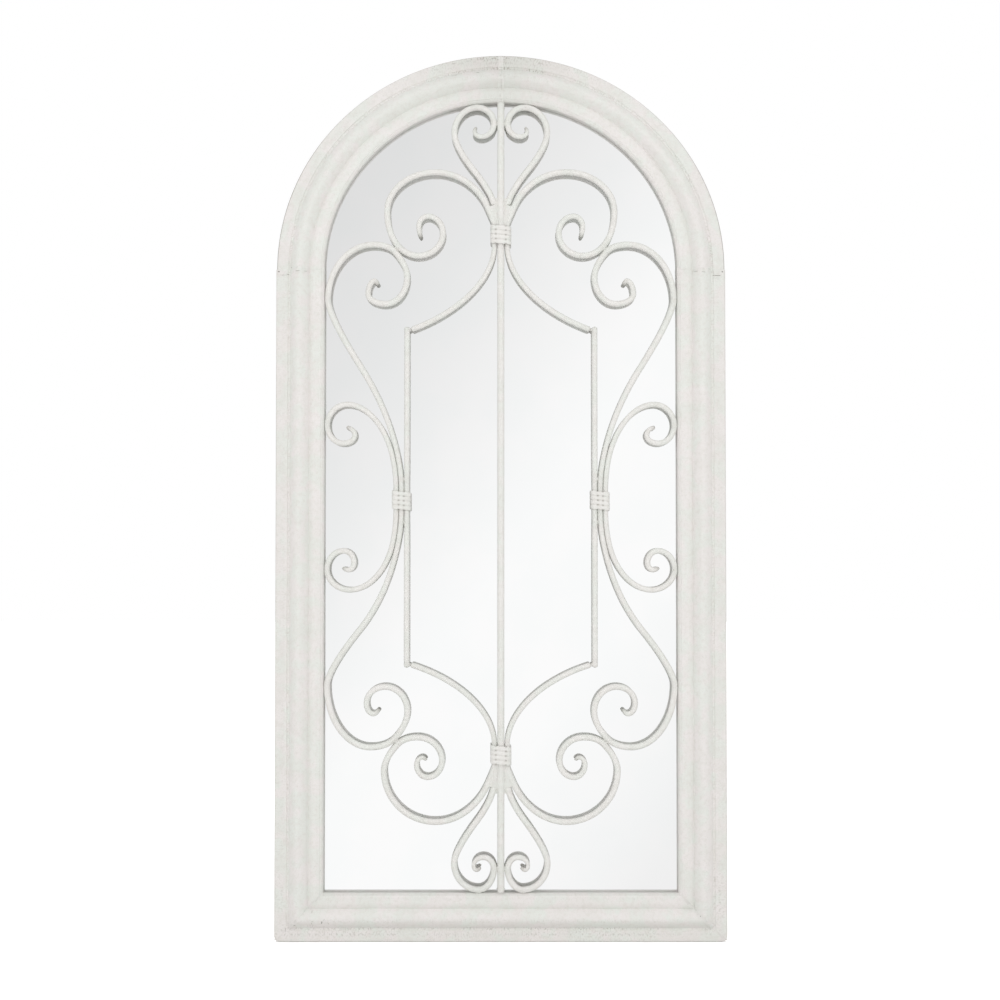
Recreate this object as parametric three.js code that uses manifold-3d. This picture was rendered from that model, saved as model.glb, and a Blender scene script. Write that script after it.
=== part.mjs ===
// An arched wall mirror in a pressed sheet-metal frame, with a wrought scroll grille in front of the
// glass. Millimetres, +Z up, front towards -Y. Heights are first counted from the underside of the
// bottom rail and depths from the wall; the finished group is moved so that its origin lies on the
// wall, midway between the two hanging rings.
import * as THREE from "three";
import { mergeVertices } from "three/addons/utils/BufferGeometryUtils.js";
import Module from "manifold-3d";

const wasm = await Module();
wasm.setup();

// ---------------------------------------------------------------- overall sizes
const height = 1000; // underside of the rail to the crown
const width = 508; // across the stiles
const archRise = 244; // spring line to the crown
const railHeight = 55; // face of the bottom rail
const archSetback = 1; // the arch's outer edge stands in from the stiles by this
const hangDrop = 66; // axis of the hanging rings, below the spring line
const wallGap = 7; // held clear of the wall by the bumpers
const seat = 0.3; // clearance between pieces that touch
const seamGap = 0.3; // between the frame's welded lengths

// ---------------------------------------------------------------- pressed moulding, outer edge inwards
const sheet = 1.2;
const lipWidth = 13;
const grooveWidth = 3.5;
const beadRiseWidth = 10;
const beadFallWidth = 11;
const coveWidth = 7.5;
const bandWidth = 6;
const rimWidth = 4; // last strip of the band, a fine step lower
const lipHeight = 18; // heights from the rear flange's plane
const grooveDepth = 1;
const beadHeight = 25.5;
const hollowHeight = 18;
const bandHeight = 20.5;
const rimStep = 0.6;
const edgeRadius = 2;
const rearFlange = 14; // flange that faces the wall
const glassFlange = 15; // flange that the glass lies against
const glassFlangeHeight = 8.6; // of its back face
const faceWidth =
  lipWidth + grooveWidth + beadRiseWidth + beadFallWidth + coveWidth + bandWidth + rimWidth;

// ---------------------------------------------------------------- glass and back
const glassThickness = 3;
const boardThickness = 2.5;
const glassOverlap = 7; // glass hidden behind the moulding

// ---------------------------------------------------------------- clips and screws
const clipSheet = 1.2;
const clipWidth = 14;
const clipFoot = 7.5;
const clipTongue = 12;
const screwRadius = 1.5;
const screwHole = 1.9;
const screwHeadRadius = 2.8;
const screwHeadHeight = 1.8;
const headTaper = 0.7; // a head's top, as a share of its rim
const screwLength = 7;

// ---------------------------------------------------------------- scroll grille
const barDiameter = 8;
const rodDiameter = 7; // scrolls
const slimDiameter = 6.4; // side C-scrolls and lyre bars
const neckDiameter = 5.8; // rods drawn in under a collar
const tipDiameter = 4.6; // at the eye of a curl
const glassToRod = 10.7; // glass to the rods' middle plane
const topInset = 151; // top collar, from the opening's top
const bottomInset = 154; // bottom collar, from the rail
const sideCollarDrop = 7.4; // side collars, below the middle of those two
const partingRise = 47; // from a side collar to where the bow and the C-scroll part
const partingTurn = 11; // degrees that the two have bent by there
const lyreShare = 0.532; // lyre bars, as a share of the half opening
const wireWidth = 4.5; // flattened binding wire, along the rods
const wireThickness = 1.5;
const wireGap = 0.64; // between neighbouring turns
const wireTurns = 4;

// ---------------------------------------------------------------- hanging rings and bumpers
const ringWire = 3;
const ringInside = 20; // clear width of a ring
const ringDrop = 20; // axis to the middle of the ring's lowest wire
const ringCorner = 3;
const ringInset = 30; // middle of a ring, from the stile's outer edge
const knuckleWidth = 9;
const plateSheet = 1.2;
const plateAbove = 16; // plate above the ring's axis
const plateBelow = 4;
const plateReach = 44; // inner end of the plate, from the stile's outer edge
const plateMargin = 2; // its outer end, from the same edge
const knuckleTurn = 300; // degrees that the plate's edge is rolled round the ring
const plateScrewRise = [1, 11]; // of the two screws, from the ring's axis
const bumperRadius = 6;
const lowerBumperHeight = 62;
const upperBumperTurn = 40; // degrees from the crown

// ---------------------------------------------------------------- fineness of the facets
const archSteps = 14;
const rodSides = 8;
const rodSagitta = 0.65; // a rod's straight lengths leave its true arc by this at most
const collarSteps = 24;
const screwSides = 8;
const holeSides = 12;
const knuckleSteps = 10;
const bumperSides = 16;
const halvings = 40; // of the arch's turn, when a height on it is looked for
const leastSine = 0.02; // below this, two tangents count as parallel

// ---------------------------------------------------------------- derived places
const archFace = faceWidth - archSetback;
const halfWidth = width / 2;
const springLine = height - archRise;
const hangHeight = springLine - hangDrop;
const halfOpening = halfWidth - faceWidth;
const openingTop = height - archFace;
const glassFront = wallGap + glassFlangeHeight - seat;
const rodDepth = glassFront + glassToRod;
const boardFront = glassFront - glassThickness - seat;
const topCollar = openingTop - topInset;
const bottomCollar = railHeight + bottomInset;
const sideCollar = (topCollar + bottomCollar) / 2 - sideCollarDrop;
const lyreX = lyreShare * halfOpening;
const flangeMiddle = rearFlange / 2;

const radians = THREE.MathUtils.degToRad;
const barRadius = barDiameter / 2;
const rodRadius = rodDiameter / 2;
const slimRadius = slimDiameter / 2;
const neckRadius = neckDiameter / 2;
const tipRadius = tipDiameter / 2;

// ---------------------------------------------------------------- finishes
const distressedPaint = { color: 0xe4e1da, roughness: 0.62, metalness: 0.0 };
const silvered = { color: 0xe8ecee, roughness: 0.04, metalness: 1.0 };
const hardboard = { color: 0x7a5a3c, roughness: 0.85, metalness: 0.0 };
const zincPlate = { color: 0xb9bcc0, roughness: 0.38, metalness: 1.0 };
const blackRubber = { color: 0x26262a, roughness: 0.8, metalness: 0.0 };

const mirror = new THREE.Group();

function add(name, geometry, finish) {
  const mesh = new THREE.Mesh(geometry, new THREE.MeshStandardMaterial(finish));
  mesh.name = name;
  mirror.add(mesh);
  return mesh;
}

// ---------------------------------------------------------------- solids
function geometryOf(positions, indices) {
  const geometry = new THREE.BufferGeometry();
  geometry.setAttribute("position", new THREE.Float32BufferAttribute(positions, 3));
  geometry.setIndex(indices);
  return geometry;
}

// A positive volume means that the triangles face out.
function signedVolume(points, triangles) {
  const cross = new THREE.Vector3();
  let sum = 0;
  for (let i = 0; i < triangles.length; i += 3) {
    const [a, b, c] = [0, 1, 2].map((k) => points[triangles[i + k]]);
    sum += a.dot(cross.crossVectors(b, c));
  }
  return sum / 6;
}

// A planar ring in its own plane, anticlockwise, as points for triangulation.
function flatten(ring) {
  const normal = new THREE.Vector3();
  ring.forEach((p, i) => normal.add(p.clone().cross(ring[(i + 1) % ring.length])));
  normal.normalize();
  const across = ring[1].clone().sub(ring[0]).normalize();
  const up = normal.clone().cross(across);
  return ring.map((p) => new THREE.Vector2(p.dot(across), p.dot(up)));
}

// Joins rings of equally many points into one closed solid, with flat ends, or without ends where
// the last ring runs on into the first.
function loft(rings, { endless = false } = {}) {
  const count = rings[0].length;
  const points = rings.flat();
  const triangles = [];
  const spans = endless ? rings.length : rings.length - 1;
  for (let i = 0; i < spans; i++) {
    const near = i * count;
    const far = ((i + 1) % rings.length) * count;
    for (let j = 0; j < count; j++) {
      const next = (j + 1) % count;
      triangles.push(near + j, near + next, far + j, near + next, far + next, far + j);
    }
  }
  if (!endless) {
    const last = (rings.length - 1) * count;
    for (const [a, b, c] of THREE.ShapeUtils.triangulateShape(flatten(rings[0]), [])) {
      triangles.push(a, c, b, last + a, last + b, last + c);
    }
  }
  if (signedVolume(points, triangles) < 0) triangles.reverse();
  return geometryOf(points.flatMap((p) => p.toArray()), triangles);
}

function solidOf(geometry) {
  const bare = geometry.clone();
  bare.deleteAttribute("normal");
  bare.deleteAttribute("uv");
  const merged = mergeVertices(bare, 1e-4);
  const vertProperties = merged.attributes.position.array;
  const triVerts = new Uint32Array(merged.index.array);
  return new wasm.Manifold(new wasm.Mesh({ numProp: 3, vertProperties, triVerts }));
}

function cut(geometry, tools) {
  let solid = solidOf(geometry);
  for (const tool of tools) solid = solid.subtract(solidOf(tool));
  return fromSolid(solid);
}

function join(first, second) {
  return fromSolid(solidOf(first).add(solidOf(second)));
}

function fromSolid(solid) {
  const made = solid.getMesh();
  return geometryOf(Array.from(made.vertProperties), Array.from(made.triVerts));
}

// A cylinder through a place, along a direction.
function rodCutter(centre, direction, radius, length) {
  const cutter = new THREE.CylinderGeometry(radius, radius, length, holeSides);
  const turn = new THREE.Quaternion().setFromUnitVectors(new THREE.Vector3(0, 1, 0), direction);
  return cutter.applyQuaternion(turn).translate(centre.x, centre.y, centre.z);
}

// A point across the mirror, in front of the wall and above the rail's underside.
const at = (x, depth, z) => new THREE.Vector3(x, -depth, z);
const towardsWall = new THREE.Vector3(0, 1, 0);

// ---------------------------------------------------------------- frame moulding
function ellipseArc(cx, cy, rx, ry, from, to, steps) {
  return Array.from({ length: steps + 1 }, (_, i) => {
    const angle = radians(from + ((to - from) * i) / steps);
    return new THREE.Vector2(cx + rx * Math.cos(angle), cy + ry * Math.sin(angle));
  });
}

// A rise that starts steep and ends flat, without its first point.
function quarterWave(x, y, run, rise, steps) {
  return Array.from({ length: steps }, (_, i) => {
    const share = (i + 1) / steps;
    return new THREE.Vector2(x + run * share, y + rise * Math.sin((share * Math.PI) / 2));
  });
}

// The sheet's outer skin, from the rear flange's free edge, round the face, to the glass flange's.
function mouldingSkin() {
  const bead = lipWidth + grooveWidth;
  const crest = bead + beadRiseWidth;
  const hollow = crest + beadFallWidth;
  const band = hollow + coveWidth;
  const rim = band + bandWidth;
  const rimHeight = bandHeight - rimStep;
  const halfGroove = grooveWidth / 2;
  const edgeCentre = lipHeight - edgeRadius;
  const rise = beadHeight - lipHeight;
  const fall = beadHeight - hollowHeight;
  const lift = bandHeight - hollowHeight;
  return [
    new THREE.Vector2(rearFlange, 0),
    new THREE.Vector2(0, 0),
    ...ellipseArc(edgeRadius, edgeCentre, edgeRadius, edgeRadius, 180, 90, 2),
    ...ellipseArc(lipWidth + halfGroove, lipHeight, halfGroove, grooveDepth, 180, 360, 3),
    ...quarterWave(bead, lipHeight, beadRiseWidth, rise, 4),
    ...quarterWave(hollow, hollowHeight, -beadFallWidth, fall, 4).reverse().slice(1),
    new THREE.Vector2(hollow, hollowHeight),
    ...quarterWave(hollow, hollowHeight, coveWidth, lift, 3),
    new THREE.Vector2(rim, bandHeight),
    new THREE.Vector2(rim, rimHeight),
    new THREE.Vector2(faceWidth - rimStep, rimHeight),
    new THREE.Vector2(faceWidth, rimHeight - rimStep),
    new THREE.Vector2(faceWidth, glassFlangeHeight),
    new THREE.Vector2(faceWidth - glassFlange, glassFlangeHeight),
  ];
}

// The skin and the same line one sheet further in, as one closed section.
function sheetSection(skin, thickness) {
  const side = (a, b) => new THREE.Vector2(b.y - a.y, a.x - b.x).normalize();
  const inner = skin.map((p, i) => {
    const before = i > 0 ? side(skin[i - 1], p) : side(p, skin[i + 1]);
    const after = i < skin.length - 1 ? side(p, skin[i + 1]) : before;
    const mitre = before.clone().add(after).divideScalar(1 + before.dot(after));
    return p.clone().addScaledVector(mitre, thickness);
  });
  return [...skin, ...inner.reverse()];
}

const moulding = sheetSection(mouldingSkin(), sheet);
const mitreRise = railHeight / faceWidth;

// The arch's outer edge is half an ellipse; turn counts from the crown, and the place lies
// inwards of the edge, square to it.
function onArch(turn, inwards) {
  const rx = halfWidth - archSetback;
  const outer = new THREE.Vector2(rx * Math.sin(turn), springLine + archRise * Math.cos(turn));
  const normal = new THREE.Vector2(-Math.sin(turn) / rx, -Math.cos(turn) / archRise).normalize();
  return { point: outer.addScaledVector(normal, inwards), normal };
}

function archSection(turn, side) {
  return moulding.map(({ x: inwards, y: rise }) => {
    const { point } = onArch(turn, (inwards * archFace) / faceWidth);
    const lift = (seamGap * turn) / (Math.PI / 2);
    return at(side * (point.x + seamGap / 2), wallGap + rise, point.y + lift);
  });
}

function stileSection(side, heightOf) {
  return moulding.map(({ x, y }) => at(side * (halfWidth - x), wallGap + y, heightOf(x)));
}

function railSection(side) {
  return moulding.map(({ x, y }) => at(side * (halfWidth - x), wallGap + y, x * mitreRise));
}

// ---------------------------------------------------------------- clips that hold glass and back
// A clip's place: where the glass's edge is, and the way out from the opening, both in the plane
// of the mirror.
const glassInset = faceWidth - glassOverlap;
const riserOut = seat + clipSheet; // the clip's riser stands a seat away from the glass
const clipHole = (riserOut + clipFoot) / 2;

function stileClip(side, z) {
  return { x: side * (halfWidth - glassInset), z, outX: side, outZ: 0 };
}

function railClip(side, x) {
  return { x: side * x, z: railHeight - glassOverlap, outX: 0, outZ: -1 };
}

function archClip(side, degrees) {
  const { point, normal } = onArch(radians(degrees), archFace - glassOverlap);
  return { x: side * point.x, z: point.y, outX: -side * normal.x, outZ: -normal.y };
}

const clipPlaces = {
  stile_low: (side) => stileClip(side, 0.25 * height),
  stile_high: (side) => stileClip(side, 0.6 * height),
  arch: (side) => archClip(side, 42),
  rail: (side) => railClip(side, 0.55 * halfOpening),
};

const clipPoint = ({ x, z, outX, outZ }, out, depth) => at(x + out * outX, depth, z + out * outZ);

// A strip folded twice: its foot on the glass flange, its tongue over the backing board.
function clipGeometry(place) {
  const tongueFront = boardFront - boardThickness - seat;
  const profile = [
    [seat, glassFront],
    [clipFoot, glassFront],
    [clipFoot, glassFront - clipSheet],
    [riserOut, glassFront - clipSheet],
    [riserOut, tongueFront - clipSheet],
    [-clipTongue, tongueFront - clipSheet],
    [-clipTongue, tongueFront],
    [seat, tongueFront],
  ];
  const along = at(-place.outZ, 0, place.outX);
  const ring = (shift) =>
    profile.map(([out, depth]) => clipPoint(place, out, depth).addScaledVector(along, shift));
  const strip = loft([ring(-clipWidth / 2), ring(clipWidth / 2)]);
  return cut(strip, [clipDrill(place)]);
}

function clipDrill(place) {
  const centre = clipPoint(place, clipHole, glassFront);
  return rodCutter(centre, towardsWall, screwHole, 4 * clipSheet);
}

// ---------------------------------------------------------------- screws
// A pan-head screw along the wall's normal; seatDepth is the face that its head is tightened on.
function screwGeometry(x, z, seatDepth) {
  const shoulder = seat;
  const dome = shoulder + screwHeadHeight;
  const profile = [
    [0, shoulder - screwLength],
    [screwRadius, shoulder - screwLength],
    [screwRadius, shoulder],
    [screwHeadRadius, shoulder],
    [screwHeadRadius * headTaper, dome],
    [0, dome],
  ];
  const points = profile.map(([r, y]) => new THREE.Vector2(r, y));
  return new THREE.LatheGeometry(points, screwSides).translate(x, -seatDepth, z);
}

// ---------------------------------------------------------------- frame assembly
const sides = { left: -1, right: 1 };

function buildFrame() {
  const turns = Array.from({ length: archSteps + 1 }, (_, i) => (i * Math.PI) / 2 / archSteps);
  const rail = loft([railSection(-1), railSection(1)]);
  const railDrills = Object.values(sides).map((side) => clipDrill(clipPlaces.rail(side)));
  add("frame_bottom_rail", cut(rail, railDrills), distressedPaint);
  for (const [name, side] of Object.entries(sides)) {
    const arch = loft(turns.map((turn) => archSection(turn, side)));
    add("frame_arch_" + name, cut(arch, [clipDrill(clipPlaces.arch(side))]), distressedPaint);
    const foot = stileSection(side, (x) => x * mitreRise + seamGap);
    const top = stileSection(side, () => springLine);
    const drills = [
      clipDrill(clipPlaces.stile_low(side)),
      clipDrill(clipPlaces.stile_high(side)),
      ...plateScrewPlaces(side).map(([x, z]) =>
        rodCutter(at(x, wallGap, z), towardsWall, screwHole, 4 * sheet),
      ),
    ];
    add("frame_stile_" + name, cut(loft([foot, top]), drills), distressedPaint);
  }
}

// ---------------------------------------------------------------- glass and backing board
function panel(front, thickness) {
  const half = [];
  for (let i = 0; i <= archSteps; i++) {
    half.push(onArch((i * Math.PI) / 2 / archSteps, archFace - glassOverlap).point);
  }
  half.push(new THREE.Vector2(halfWidth - glassInset, railHeight - glassOverlap));
  const left = half.slice(1).reverse().map((p) => new THREE.Vector2(-p.x, p.y));
  const ring = (depth) => [...left, ...half].map((p) => at(p.x, depth, p.y));
  return loft([ring(front), ring(front - thickness)]);
}

function buildGlass() {
  add("mirror_glass", panel(glassFront, glassThickness), silvered);
  add("backing_board", panel(boardFront, boardThickness), hardboard);
  for (const [end, placeOf] of Object.entries(clipPlaces)) {
    for (const [name, side] of Object.entries(sides)) {
      const place = placeOf(side);
      const hole = clipPoint(place, clipHole, 0);
      add(`clip_${end}_${name}`, clipGeometry(place), zincPlate);
      const screw = screwGeometry(hole.x, hole.z, glassFront - clipSheet);
      add(`clip_screw_${end}_${name}`, screw, zincPlate);
    }
  }
}

// ---------------------------------------------------------------- rods of the grille
// A rod's middle line runs through knots. Each knot has its place, the way the rod runs there, in
// degrees anticlockwise from +X, and the rod's radius there. Between two knots it is an arc: of a
// circle, or of an ellipse where the two are not equally far from where their tangents meet.
const knot = (x, z, heading, radius = rodRadius) => ({ x, z, heading, radius });

function direction(degrees) {
  return new THREE.Vector2(Math.cos(radians(degrees)), Math.sin(radians(degrees)));
}

// How far along its tangents the arc's two handles reach, as a share of the tangents' lengths.
function handleShare(turn) {
  const angle = radians(Math.abs(turn));
  return ((4 / 3) * Math.tan(angle / 4)) / Math.tan(angle / 2);
}

function bendBetween(a, b) {
  const turn = THREE.MathUtils.euclideanModulo(b.heading - a.heading + 180, 360) - 180;
  const from = new THREE.Vector2(a.x, a.z);
  const to = new THREE.Vector2(b.x, b.z);
  const out = direction(a.heading);
  const into = direction(b.heading);
  const chord = to.clone().sub(from);
  const sine = out.cross(into);
  let reach = [chord.length() / 3, chord.length() / 3];
  if (Math.abs(sine) > leastSine) {
    const tangents = [chord.cross(into) / sine, out.cross(chord) / sine];
    if (Math.min(...tangents) > 0) reach = tangents.map((length) => length * handleShare(turn));
  }
  const outHandle = from.clone().addScaledVector(out, reach[0]);
  const intoHandle = to.clone().addScaledVector(into, -reach[1]);
  const curve = new THREE.CubicBezierCurve(from, outHandle, intoHandle, to);
  return { curve, turn: Math.abs(turn) };
}

function rodStations(knots) {
  const stations = [];
  for (let i = 0; i < knots.length - 1; i++) {
    const [a, b] = [knots[i], knots[i + 1]];
    const { curve, turn } = bendBetween(a, b);
    const fineness = Math.ceil(Math.sqrt((curve.getLength() * radians(turn)) / (8 * rodSagitta)));
    const steps = Math.max(a.radius === b.radius ? 1 : 3, fineness);
    for (let k = i === 0 ? 0 : 1; k <= steps; k++) {
      const t = k / steps;
      const radius = THREE.MathUtils.lerp(a.radius, b.radius, THREE.MathUtils.smoothstep(t, 0, 1));
      stations.push({ point: curve.getPoint(t), tangent: curve.getTangent(t), radius });
    }
  }
  return stations;
}

// A round section square to the line, its flats as far from the middle as the rod's surface.
function roundSection({ point, tangent, radius }, depth, side = 1) {
  const corner = radius / Math.cos(Math.PI / rodSides);
  return Array.from({ length: rodSides }, (_, k) => {
    const angle = (2 * Math.PI * (k + 0.5)) / rodSides;
    const inPlane = corner * Math.cos(angle);
    const x = point.x - tangent.y * inPlane;
    return at(side * x, depth + corner * Math.sin(angle), point.y + tangent.x * inPlane);
  });
}

function rodGeometry(knots, side = 1) {
  return loft(rodStations(knots).map((station) => roundSection(station, rodDepth, side)));
}

// ---------------------------------------------------------------- rulers of the grille's drawing
// Widths are shares of the half opening. Heights are shares of the way from the top collar to the
// crown, from the bottom collar to the rail, or from the side collars to the other two.
const across = (share) => share * halfOpening;
const high = (share) => topCollar + share * topInset;
const low = (share) => bottomCollar - share * bottomInset;
const aboveSide = (share) => sideCollar + share * (topCollar - sideCollar);
const belowSide = (share) => sideCollar - share * (sideCollar - bottomCollar);

const wirePitch = wireWidth + wireGap;
const collarHalf = (wireTurns / 2 - 0.25) * wirePitch + wireWidth / 2; // beside the rods
const besideBar = barRadius + seat + rodRadius;
const neckX = barRadius + seat + neckRadius;
const neckStep = 2 * neckRadius + seat;
const bowX = lyreX + neckStep;
const scrollX = bowX + neckStep;
const rodStep = 2 * rodRadius + seat; // between the middles of two rods that touch

// From the side collar the bow bends on a circle, with the C-scroll beside it, to where they part.
function partings(sense) {
  const shift = (partingRise - collarHalf) * Math.tan(radians(partingTurn) / 2);
  const way = 270 - sense * partingTurn;
  const bow = knot(bowX + shift, sideCollar + sense * partingRise, way, neckRadius);
  return { bow, scroll: { ...bow, ...leftOf(bow, way, neckStep) } };
}

const upperParting = partings(1);
const lowerParting = partings(-1);

// The place that lies this far to the left of a heading.
function leftOf({ x, z }, heading, distance) {
  const left = direction(heading + 90);
  return { x: x + distance * left.x, z: z + distance * left.y };
}

// Where a rod touches the opening's edge beside it, at a height.
function besideOpening(z, radius) {
  const inset = seat + radius;
  if (z <= springLine) return knot(halfOpening - inset, z, 90, radius);
  let [lowest, highest] = [0, Math.PI / 2];
  for (let i = 0; i < halvings; i++) {
    const middle = (lowest + highest) / 2;
    if (onArch(middle, archFace + inset).point.y > z) lowest = middle;
    else highest = middle;
  }
  return underArch((lowest + highest) / 2, radius);
}

// The same under the arch, at a turn from the crown; the heading runs up towards the crown.
function underArch(turn, radius) {
  const { point, normal } = onArch(turn, archFace + seat + radius);
  const heading = THREE.MathUtils.radToDeg(Math.atan2(-normal.x, normal.y));
  return knot(point.x, point.y, heading, radius);
}

// The same knot, with the rod running down through it.
const downwards = (place) => ({ ...place, heading: place.heading + 180 });

// ---------------------------------------------------------------- knots of the scrolls, right half
const upperSpread = 67; // way of the upper scrolls where the hearts' feet lie on them
const lowerSpread = 294;
const upperWeld = { x: across(0.592), z: high(-0.104), heading: 47 };
const lowerWeld = { x: across(0.591), z: low(-0.0981), heading: 135 };

// Beside the bar, where a full rod has room between the two.
function heartFoot(z, spread) {
  const outwards = rodStep * Math.abs(Math.sin(radians(spread)));
  const scroll = knot(besideBar + outwards, z, spread);
  const sense = spread < 180 ? 1 : -1;
  return { scroll, foot: leftOf(scroll, spread, sense * rodStep) };
}

const upperFoot = heartFoot(high(0.205), upperSpread);
const lowerFoot = heartFoot(low(0.2079), lowerSpread);

function weldKnot({ x, z, heading }, sense, way) {
  const place = leftOf({ x, z }, heading, (sense * rodStep) / 2);
  return knot(place.x, place.z, way);
}

// From the lyre's shoulder, through the top collar, out over the crest and into its curl.
function upperScrollKnots() {
  const shoulder = 160;
  const shoulderX = lyreX - slimRadius - seat - rodRadius * Math.sin(radians(shoulder));
  return [
    knot(shoulderX, high(-0.711), shoulder, slimRadius),
    knot(neckX, topCollar - collarHalf, 90, neckRadius),
    knot(neckX, topCollar + collarHalf, 90, neckRadius),
    upperFoot.scroll,
    knot(across(0.372), high(0.474), 0),
    knot(across(0.646), high(0.177), 270),
    weldKnot(upperWeld, 1, upperWeld.heading + 180),
    knot(across(0.468), high(-0.155), 180),
    knot(across(0.329), high(0.014), 90),
    knot(across(0.414), high(0.142), 0, slimRadius),
    knot(across(0.466), high(0.064), 270, neckRadius),
    knot(across(0.447), high(-0.009), 200, tipRadius),
  ];
}

function lowerScrollKnots() {
  const shoulder = 197;
  const shoulderX = lyreX - slimRadius - seat + rodRadius * Math.sin(radians(shoulder));
  return [
    knot(shoulderX, low(-0.6569), shoulder, slimRadius),
    knot(neckX, bottomCollar + collarHalf, 270, neckRadius),
    knot(neckX, bottomCollar - collarHalf, 270, neckRadius),
    lowerFoot.scroll,
    knot(across(0.368), low(0.4854), 0),
    knot(across(0.659), low(0.1157), 90),
    weldKnot(lowerWeld, 1, lowerWeld.heading),
    knot(across(0.47), low(-0.1284), 180),
    knot(across(0.331), low(0.0412), 270),
    knot(across(0.413), low(0.1618), 0, slimRadius),
    knot(across(0.475), low(0.0716), 90, neckRadius),
    knot(across(0.442), low(0.0186), 180, tipRadius),
    knot(across(0.425), low(0.0412), 270, tipRadius),
  ];
}

function topHeartKnots() {
  return [
    knot(upperFoot.foot.x, upperFoot.foot.z, 83),
    knot(across(0.156), high(0.493), 51),
    knot(across(0.264), high(0.772), 90),
    underArch(0.15, rodRadius),
    knot(besideBar, high(0.84), 270),
    knot(across(0.11), high(0.742), 0, neckRadius),
    knot(across(0.149), high(0.778), 90, tipRadius),
    knot(across(0.134), high(0.803), 180, tipRadius),
  ];
}

function bottomHeartKnots() {
  return [
    knot(lowerFoot.foot.x, lowerFoot.foot.z, 280),
    knot(across(0.132), low(0.4726), 307),
    knot(across(0.263), low(0.7854), 270),
    knot(across(0.126), railHeight + seat + rodRadius, 180),
    knot(besideBar, low(0.8256), 90),
    knot(across(0.0975), low(0.7413), 0, slimRadius),
    knot(across(0.153), low(0.804), 270, tipRadius),
    knot(across(0.136), low(0.8334), 180, tipRadius),
    knot(across(0.121), low(0.8099), 90, tipRadius),
  ];
}

// Down past both welds, bowed in to the side collar between its two curls.
function sideBowKnots() {
  return [
    knot(across(0.695), high(-0.374), 60, tipRadius),
    knot(across(0.716), high(-0.344), 0, neckRadius),
    knot(across(0.753), high(-0.443), 270, slimRadius),
    knot(across(0.655), high(-0.517), 180),
    knot(across(0.532), high(-0.317), 90),
    weldKnot(upperWeld, -1, upperWeld.heading),
    knot(across(0.724), high(-0.071), 0),
    downwards(besideOpening(high(-0.483), rodRadius)),
    knot(across(0.797), aboveSide(0.505), 237.5),
    upperParting.bow,
    knot(bowX, sideCollar + collarHalf, 270, neckRadius),
    knot(bowX, sideCollar - collarHalf, 270, neckRadius),
    lowerParting.bow,
    knot(across(0.798), belowSide(0.51), 309),
    downwards(besideOpening(low(-0.505), rodRadius)),
    knot(across(0.735), low(-0.0559), 180),
    weldKnot(lowerWeld, -1, lowerWeld.heading),
    knot(across(0.527), low(-0.3177), 90),
    knot(across(0.654), low(-0.4961), 0),
    knot(across(0.758), low(-0.3755), 270, slimRadius),
    knot(across(0.719), low(-0.2991), 180, neckRadius),
    knot(across(0.688), low(-0.3363), 110, tipRadius),
  ];
}

// The C-scroll lies along the bow on both sides of the collar.
function sideScrollKnots() {
  return [
    knot(across(0.875), aboveSide(0.274), 180, tipRadius),
    knot(across(0.827), aboveSide(0.245), 270, neckRadius),
    knot(across(0.892), aboveSide(0.215), 0, slimRadius),
    besideOpening(aboveSide(0.283), slimRadius),
    knot(across(0.87), aboveSide(0.361), 180, slimRadius),
    upperParting.scroll,
    knot(scrollX, sideCollar + collarHalf, 270, neckRadius),
    knot(scrollX, sideCollar - collarHalf, 270, neckRadius),
    lowerParting.scroll,
    knot(across(0.853), belowSide(0.352), 0, slimRadius),
    besideOpening(belowSide(0.271), slimRadius),
    knot(across(0.89), belowSide(0.198), 180, slimRadius),
    knot(across(0.83), belowSide(0.245), 270, slimRadius),
    knot(across(0.862), belowSide(0.273), 0, neckRadius),
    knot(across(0.89), belowSide(0.261), 70, tipRadius),
  ];
}

function lyreBarKnots() {
  const end = slimRadius + seat;
  return [
    knot(lyreX, low(-0.6569) - end, 90, slimRadius),
    knot(lyreX, sideCollar - partingRise, 90, slimRadius),
    knot(lyreX, sideCollar - collarHalf, 90, neckRadius),
    knot(lyreX, sideCollar + collarHalf, 90, neckRadius),
    knot(lyreX, sideCollar + partingRise, 90, slimRadius),
    knot(lyreX, high(-0.711) + end, 90, slimRadius),
  ];
}

const centreBarKnots = () => [
  knot(0, railHeight + seat, 90, barRadius),
  knot(0, openingTop - seat, 90, barRadius),
];

// ---------------------------------------------------------------- collars of flattened wire
// A turn of the wire goes round a stadium: half a flat, an end, a flat, the other end and half a
// flat again, from the middle of the back.
function stadiumPlace(step, straight, radius) {
  const flat = collarSteps / 12;
  const bend = collarSteps / 3;
  const around = THREE.MathUtils.euclideanModulo(step, collarSteps);
  const half = around < collarSteps / 2 ? 1 : -1;
  const passed = half > 0 ? around : collarSteps - around;
  const angle = Math.PI * (THREE.MathUtils.clamp((passed - flat) / bend, 0, 1) - 0.5);
  const toFlat = Math.min(passed, collarSteps / 2 - passed) / flat;
  const outX = half * Math.cos(angle);
  const outDepth = Math.sin(angle);
  const x = half * straight * Math.min(toFlat, 1) + radius * outX;
  return { x, depth: radius * outDepth, outX, outDepth };
}

// The wire's section, as places along the rods and out from them.
const wireSection = [
  [wireWidth / 2, 0],
  [wireWidth / 4, wireThickness / 2],
  [-wireWidth / 4, wireThickness / 2],
  [-wireWidth / 2, 0],
  [-wireWidth / 4, -wireThickness / 2],
  [wireWidth / 4, -wireThickness / 2],
];

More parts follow.
